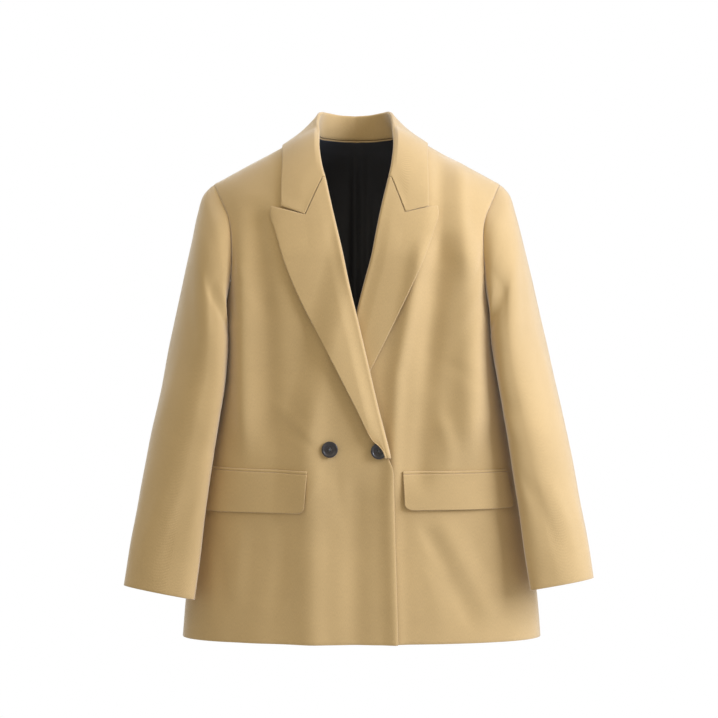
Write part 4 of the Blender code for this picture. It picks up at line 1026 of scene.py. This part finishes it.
def noise(tree, where, scale, detail, **more):
    """Irregular flecks or clouds."""
    return node(tree, "TexNoise", "Fac",
                {"Vector": where, "Scale": scale, "Detail": detail, **more})


def ribs(tree, where, scale, direction, **more):
    """Regular parallel ribs."""
    return node(tree, "TexWave", "Fac", {"Vector": where, "Scale": scale, **more},
                bands_direction=direction)


def camel_twill(name, colour, deep):
    """Fine camel twill: diagonal wales with painted shade in their valleys, warp and weft, soft
    mottling and a little nap.
    """
    m, t, main = material(name)
    uv = node(t, "UVMap", "UV", uv_map="cut")
    place = node(t, "TexCoord", "Object")
    turn = node(t, "Mapping", "Vector", {"Vector": uv, "Rotation": (0, 0, math.radians(27))})
    wale = ribs(t, turn, 300.0, "X", Distortion=1.2, Detail=2.0, **{"Detail Scale": 3.0})
    weft = ribs(t, uv, 520.0, "Y", Distortion=0.6)
    stretch = node(t, "Mapping", "Vector", {"Vector": uv, "Scale": (1600, 260, 1)})
    fibre = noise(t, stretch, 1.0, 3.0)
    cloud = noise(t, place, 14.0, 5.0, Roughness=0.6)
    # colour: painted shade, the valleys of the wales a little darker, then flecks of fibre, faint
    # cloudiness
    twill = blend(t, (*deep, 1), (*colour, 1), scaled(t, wale, 0.45, 1.0))
    flecks = scaled(t, fibre, 0.90, 1.06, 0.25, 0.75)
    cloudy = scaled(t, cloud, 0.965, 1.03, 0.3, 0.7)
    mottle = node(t, "Math", "Value", {0: flecks, 1: cloudy}, operation="MULTIPLY")
    # relief: wales first, then the weft's grain, then loose fibre
    woven = relief(t, weft, 0.22, 0.00012, relief(t, wale, 0.35, 0.00022))
    plug(t, main, {
        "Base Color": blend(t, twill, mottle, 1.0, "MULTIPLY"), "Roughness": 0.82,
        "Specular IOR Level": 0.22, "Sheen Weight": 0.85, "Sheen Roughness": 0.45,
        "Sheen Tint": (1.0, 0.97, 0.92, 1), "Normal": relief(t, fibre, 0.25, 0.00018, woven)})
    return m


def black_satin(name):
    """Black satin lining: smooth floats with a soft sheen and faint ribs."""
    m, t, main = material(name)
    rib = ribs(t, node(t, "UVMap", "UV", uv_map="cut"), 480.0, "X", Distortion=0.8)
    soft = noise(t, node(t, "TexCoord", "Object"), 26.0, 3.0)
    plug(t, main, {
        "Base Color": (0.034, 0.034, 0.037, 1), "Roughness": scaled(t, soft, 0.34, 0.50),
        "Sheen Weight": 0.15, "Sheen Tint": (0.7, 0.75, 0.85, 1),
        "Normal": relief(t, soft, 0.25, 0.002, relief(t, rib, 0.12, 0.0001))})
    return m


def dark_horn(name):
    """Polished dark horn of the buttons, with faint brown streaks."""
    m, t, main = material(name)
    place = node(t, "TexCoord", "Object")
    stretch = node(t, "Mapping", "Vector", {"Vector": place, "Scale": (60, 60, 340)})
    streak = noise(t, stretch, 1.0, 5.0)
    plug(t, main, {
        "Base Color": blend(t, (0.008, 0.007, 0.008, 1), (0.040, 0.030, 0.026, 1), streak),
        "Roughness": scaled(t, streak, 0.22, 0.38), "Coat Weight": 0.35, "Coat Roughness": 0.12})
    return m


def sewing_thread(name, colour):
    m, t, main = material(name)
    twist = ribs(t, node(t, "TexCoord", "Object"), 900.0, "DIAGONAL")
    # painted shade: the grooves of the twist are painted darker, at 0.55 of the colour, along with
    # their relief
    plug(t, main, {
        "Base Color": blend(t, (*[c * 0.55 for c in colour], 1), (*colour, 1), twist),
        "Roughness": 0.6, "Sheen Weight": 0.3, "Normal": relief(t, twist, 0.5, 0.0001)})
    return m


# ======================= buttons ==========================================================
def alone(ob):
    """Select this object and nothing else."""
    if bpy.context.object and bpy.context.object.mode != "OBJECT":
        bpy.ops.object.mode_set(mode="OBJECT")
    bpy.ops.object.select_all(action="DESELECT")
    ob.select_set(True)
    bpy.context.view_layer.objects.active = ob


def button_disc(name, mat):
    """Round four-hole button lying flat at the origin: a rim round a dished middle."""
    bpy.ops.object.select_all(action="DESELECT")
    bpy.ops.mesh.primitive_cylinder_add(vertices=72, radius=BUTTON_D / 2 * MM, depth=2.6 * MM,
                                        location=(0, 0, 1.3 * MM))
    ob = bpy.context.object
    ob.name = ob.data.name = name
    bpy.ops.object.transform_apply(location=True, rotation=False, scale=False)
    bpy.ops.object.mode_set(mode="EDIT")
    bpy.ops.mesh.select_mode(type="FACE")

    def sink(way, steps):
        """Inset the flat face that looks this way, step by step."""
        bpy.ops.mesh.select_all(action="DESELECT")
        bpy.ops.object.mode_set(mode="OBJECT")
        for f in ob.data.polygons:
            f.select = f.normal.z * way > 0.9 and len(f.vertices) > 8
        bpy.ops.object.mode_set(mode="EDIT")
        for wide, drop in steps:
            bpy.ops.mesh.inset(thickness=wide * MM, depth=0)
            bpy.ops.transform.translate(value=(0, 0, drop * MM))

    sink(1, ((1.0, 0.45), (1.3, 0.1), (1.1, -0.75), (0.9, -0.35), (1.6, 0.0)))
    sink(-1, ((1.8, -0.5),))
    bpy.ops.object.mode_set(mode="OBJECT")
    for i in range(4):
        a = math.pi / 4 + i * math.pi / 2
        bpy.ops.mesh.primitive_cylinder_add(
            vertices=20, radius=1.05 * MM, depth=12 * MM,
            location=(HOLE_OUT * MM * math.cos(a), HOLE_OUT * MM * math.sin(a), 0))
        drill = bpy.context.object
        cut = ob.modifiers.new("hole", "BOOLEAN")
        cut.operation, cut.solver, cut.object = "DIFFERENCE", "EXACT", drill
        alone(ob)
        bpy.ops.object.modifier_apply(modifier="hole")
        bpy.data.objects.remove(drill, do_unlink=True)
    alone(ob)
    soft = ob.modifiers.new("soft", "BEVEL")
    soft.width, soft.segments = 0.28 * MM, 2
    soft.limit_method, soft.angle_limit = "ANGLE", math.radians(24)
    bpy.ops.object.modifier_apply(modifier="soft")
    bpy.ops.object.shade_smooth_by_angle(angle=math.radians(30))
    ob.data.materials.clear()
    ob.data.materials.append(mat)
    return ob


def stitches(name, mat):
    """Thread of a button: two crossing pairs of strands through the holes."""
    curve = bpy.data.curves.new(name, "CURVE")
    curve.dimensions = "3D"
    curve.bevel_depth, curve.bevel_resolution = 0.30 * MM, 3
    curve.use_fill_caps = True
    for i in range(2):
        a = math.pi / 4 + i * math.pi / 2
        c, s = math.cos(a), math.sin(a)
        for off in (-0.32, 0.32):
            line = curve.splines.new("POLY")
            line.points.add(8)
            for point, u in zip(line.points, np.linspace(-1, 1, 9)):
                reach = HOLE_OUT * u
                rise = 2.15 + 0.75 * math.cos(u * math.pi / 2) ** 0.6 + 0.2 * i
                if abs(u) == 1:
                    rise = 1.0
                point.co = ((reach * c - off * s) * MM, (reach * s + off * c) * MM, rise * MM, 1)
    alone(placed(name, curve))
    bpy.ops.object.convert(target="MESH")
    ob = bpy.context.object
    for f in ob.data.polygons:
        f.use_smooth = True
    ob.data.materials.clear()
    ob.data.materials.append(mat)
    return ob


def set_button(index, name, disc, thread):
    """Put a copy of the button and its thread on the top front, square to the cloth."""
    x, z, rest = BUTTONS[index]
    p, axis = lift(*locate(x, z), 0.0, top=True)
    ring, r = np.linspace(0, 2 * math.pi, 17), BUTTON_D / 2
    under, _ = lift(*locate(x + r * np.cos(ring), z + r * np.sin(ring)), top=True)
    p = p + axis * (max(0.0, float(np.max((under - p) @ axis))) + rest)
    side = unit(np.cross([0, 0, 1.0], axis))
    frame_rows = np.stack([side, np.cross(axis, side), axis, p * MM], axis=1).tolist()
    place = Matrix((*frame_rows, (0, 0, 0, 1))) @ Matrix.Rotation(0.5 + 0.6 * index, 4, "Z")
    for source, label in ((disc, name), (thread, name.replace("button", "thread"))):
        ob = placed(label + "_piece", source.data.copy())
        ob.data.transform(place)
        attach(ob, "root")
        if source is disc:
            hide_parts(name)


# ======================= make it ==========================================================
# the second colour of the twill is the painted shade in the valleys of its wales
camel = camel_twill("camel_twill", (0.560, 0.382, 0.168), (0.450, 0.295, 0.118))
satin = black_satin("black_satin")
horn = dark_horn("dark_horn")
# the thread's colour is painted darker in the grooves of its twist, as shade
black_thread = sewing_thread("black_thread", (0.13, 0.13, 0.135))


def dress(ob):
    """Hang a shell on the root body and hide the CAD node that it stands for."""
    part = ob.name.removesuffix("_cloth")
    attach(ob, "root")
    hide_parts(part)


both_cloths = [camel, satin]
sides = ((-1, "right"), (1, "left"))
for (side, tag), seed in zip(sides, (1.0, 2.3)):
    dress(build_back(side, "back_" + tag, [camel], seed))
dress(build_lining("back_lining", [satin]))
for (side, tag), seed in zip(sides, (0.4, 1.7)):
    dress(build_front(side, "front_" + tag, both_cloths, seed))
for side, tag in sides:
    dress(build_lapel(side, "lapel_" + tag, [camel]))
dress(build_collar("collar", [camel]))
for (side, tag), table, seed in zip(sides, (SLEEVE_RIGHT, SLEEVE_LEFT), (0.9, 2.9)):
    parts = ("top_sleeve_" + tag, "under_sleeve_" + tag)
    for ob in build_sleeve(table, side, parts, both_cloths, seed):
        dress(ob)
for (side, tag), row in zip(sides, (POCKET_RIGHT, POCKET_LEFT)):
    for ob in build_pocket(row, side, ("jet_" + tag, "flap_" + tag), [camel]):
        dress(ob)

disc = button_disc("button_blank", horn)
thread = stitches("thread_blank", black_thread)
set_button(0, "button_side", disc, thread)
set_button(1, "button_front", disc, thread)
for spare in (disc, thread):
    bpy.data.objects.remove(spare, do_unlink=True)


# ======================= studio ===========================================================
def two_ways(tree, lights, shows):
    """What lights the room, and what the camera sees in its place."""
    seen = node(tree, "LightPath", "Is Camera Ray")
    return node(tree, "MixShader", "Shader", {"Fac": seen, 1: lights, 2: shows})


def softbox(name, place, size, power, colour=(1, 1, 1), aim=(0, 0, -0.3)):
    lamp = bpy.data.lights.new(name, "AREA")
    lamp.shape = "RECTANGLE"
    lamp.size, lamp.size_y = size
    lamp.energy = power
    lamp.color = colour
    ob = placed(name, lamp)
    ob.location = place
    ob.rotation_euler = (Vector(aim) - Vector(place)).to_track_quat("-Z", "Y").to_euler()


world = bpy.data.worlds.new("studio")
bpy.context.scene.world = world
world.use_nodes = True
wt = world.node_tree
wt.nodes.clear()
sky, seen = (node(wt, "Background", "Background", {"Color": colour, "Strength": strength})
             for colour, strength in (((1.0, 0.955, 0.83, 1), 0.60), ((1, 1, 1, 1), 1.0)))
node(wt, "OutputWorld", None, {"Surface": two_ways(wt, sky, seen)})

bpy.ops.object.select_all(action="DESELECT")
bpy.ops.mesh.primitive_circle_add(vertices=96, radius=24, fill_type="NGON", location=(0, 0, -0.98))
floor = bpy.context.object
floor.name = "floor"
pale, pt, ps = material("pale_floor")
plug(pt, ps, {"Base Color": (0.45, 0.45, 0.45, 1), "Roughness": 0.9})
glow = node(pt, "Emission", "Emission", {"Color": (1, 1, 1, 1), "Strength": 1.0})
plug(pt, pt.nodes["Material Output"], {"Surface": two_ways(pt, ps.outputs["BSDF"], glow)})
floor.data.materials.append(pale)

softbox("key", (3.0, -1.22, 0.9), (2.0, 2.0), 150, (0.90, 0.98, 1.22))
softbox("fill", (-1.6, -3.0, 0.5), (2.0, 2.2), 12, (1.0, 0.98, 0.94))
softbox("top", (0.4, -0.4, 2.6), (2.2, 1.6), 20)
softbox("back", (-1.2, 2.8, 0.9), (2.4, 2.0), 30)

PICTURE = 718          # pixels across
PIXEL = 0.00154        # metres across one of them at the garment's middle
AWAY = 3.2             # metres from the camera to it
cam = bpy.data.cameras.new("camera")
cam.sensor_width = 36
cam.lens = 36 * AWAY / (PICTURE * PIXEL)
view = placed("camera", cam)
view.location = (0.00308, -AWAY, -0.3)
view.rotation_euler = (math.pi / 2, 0, 0)
bpy.context.scene.camera = view
bpy.context.scene.view_settings.view_transform = "Standard"
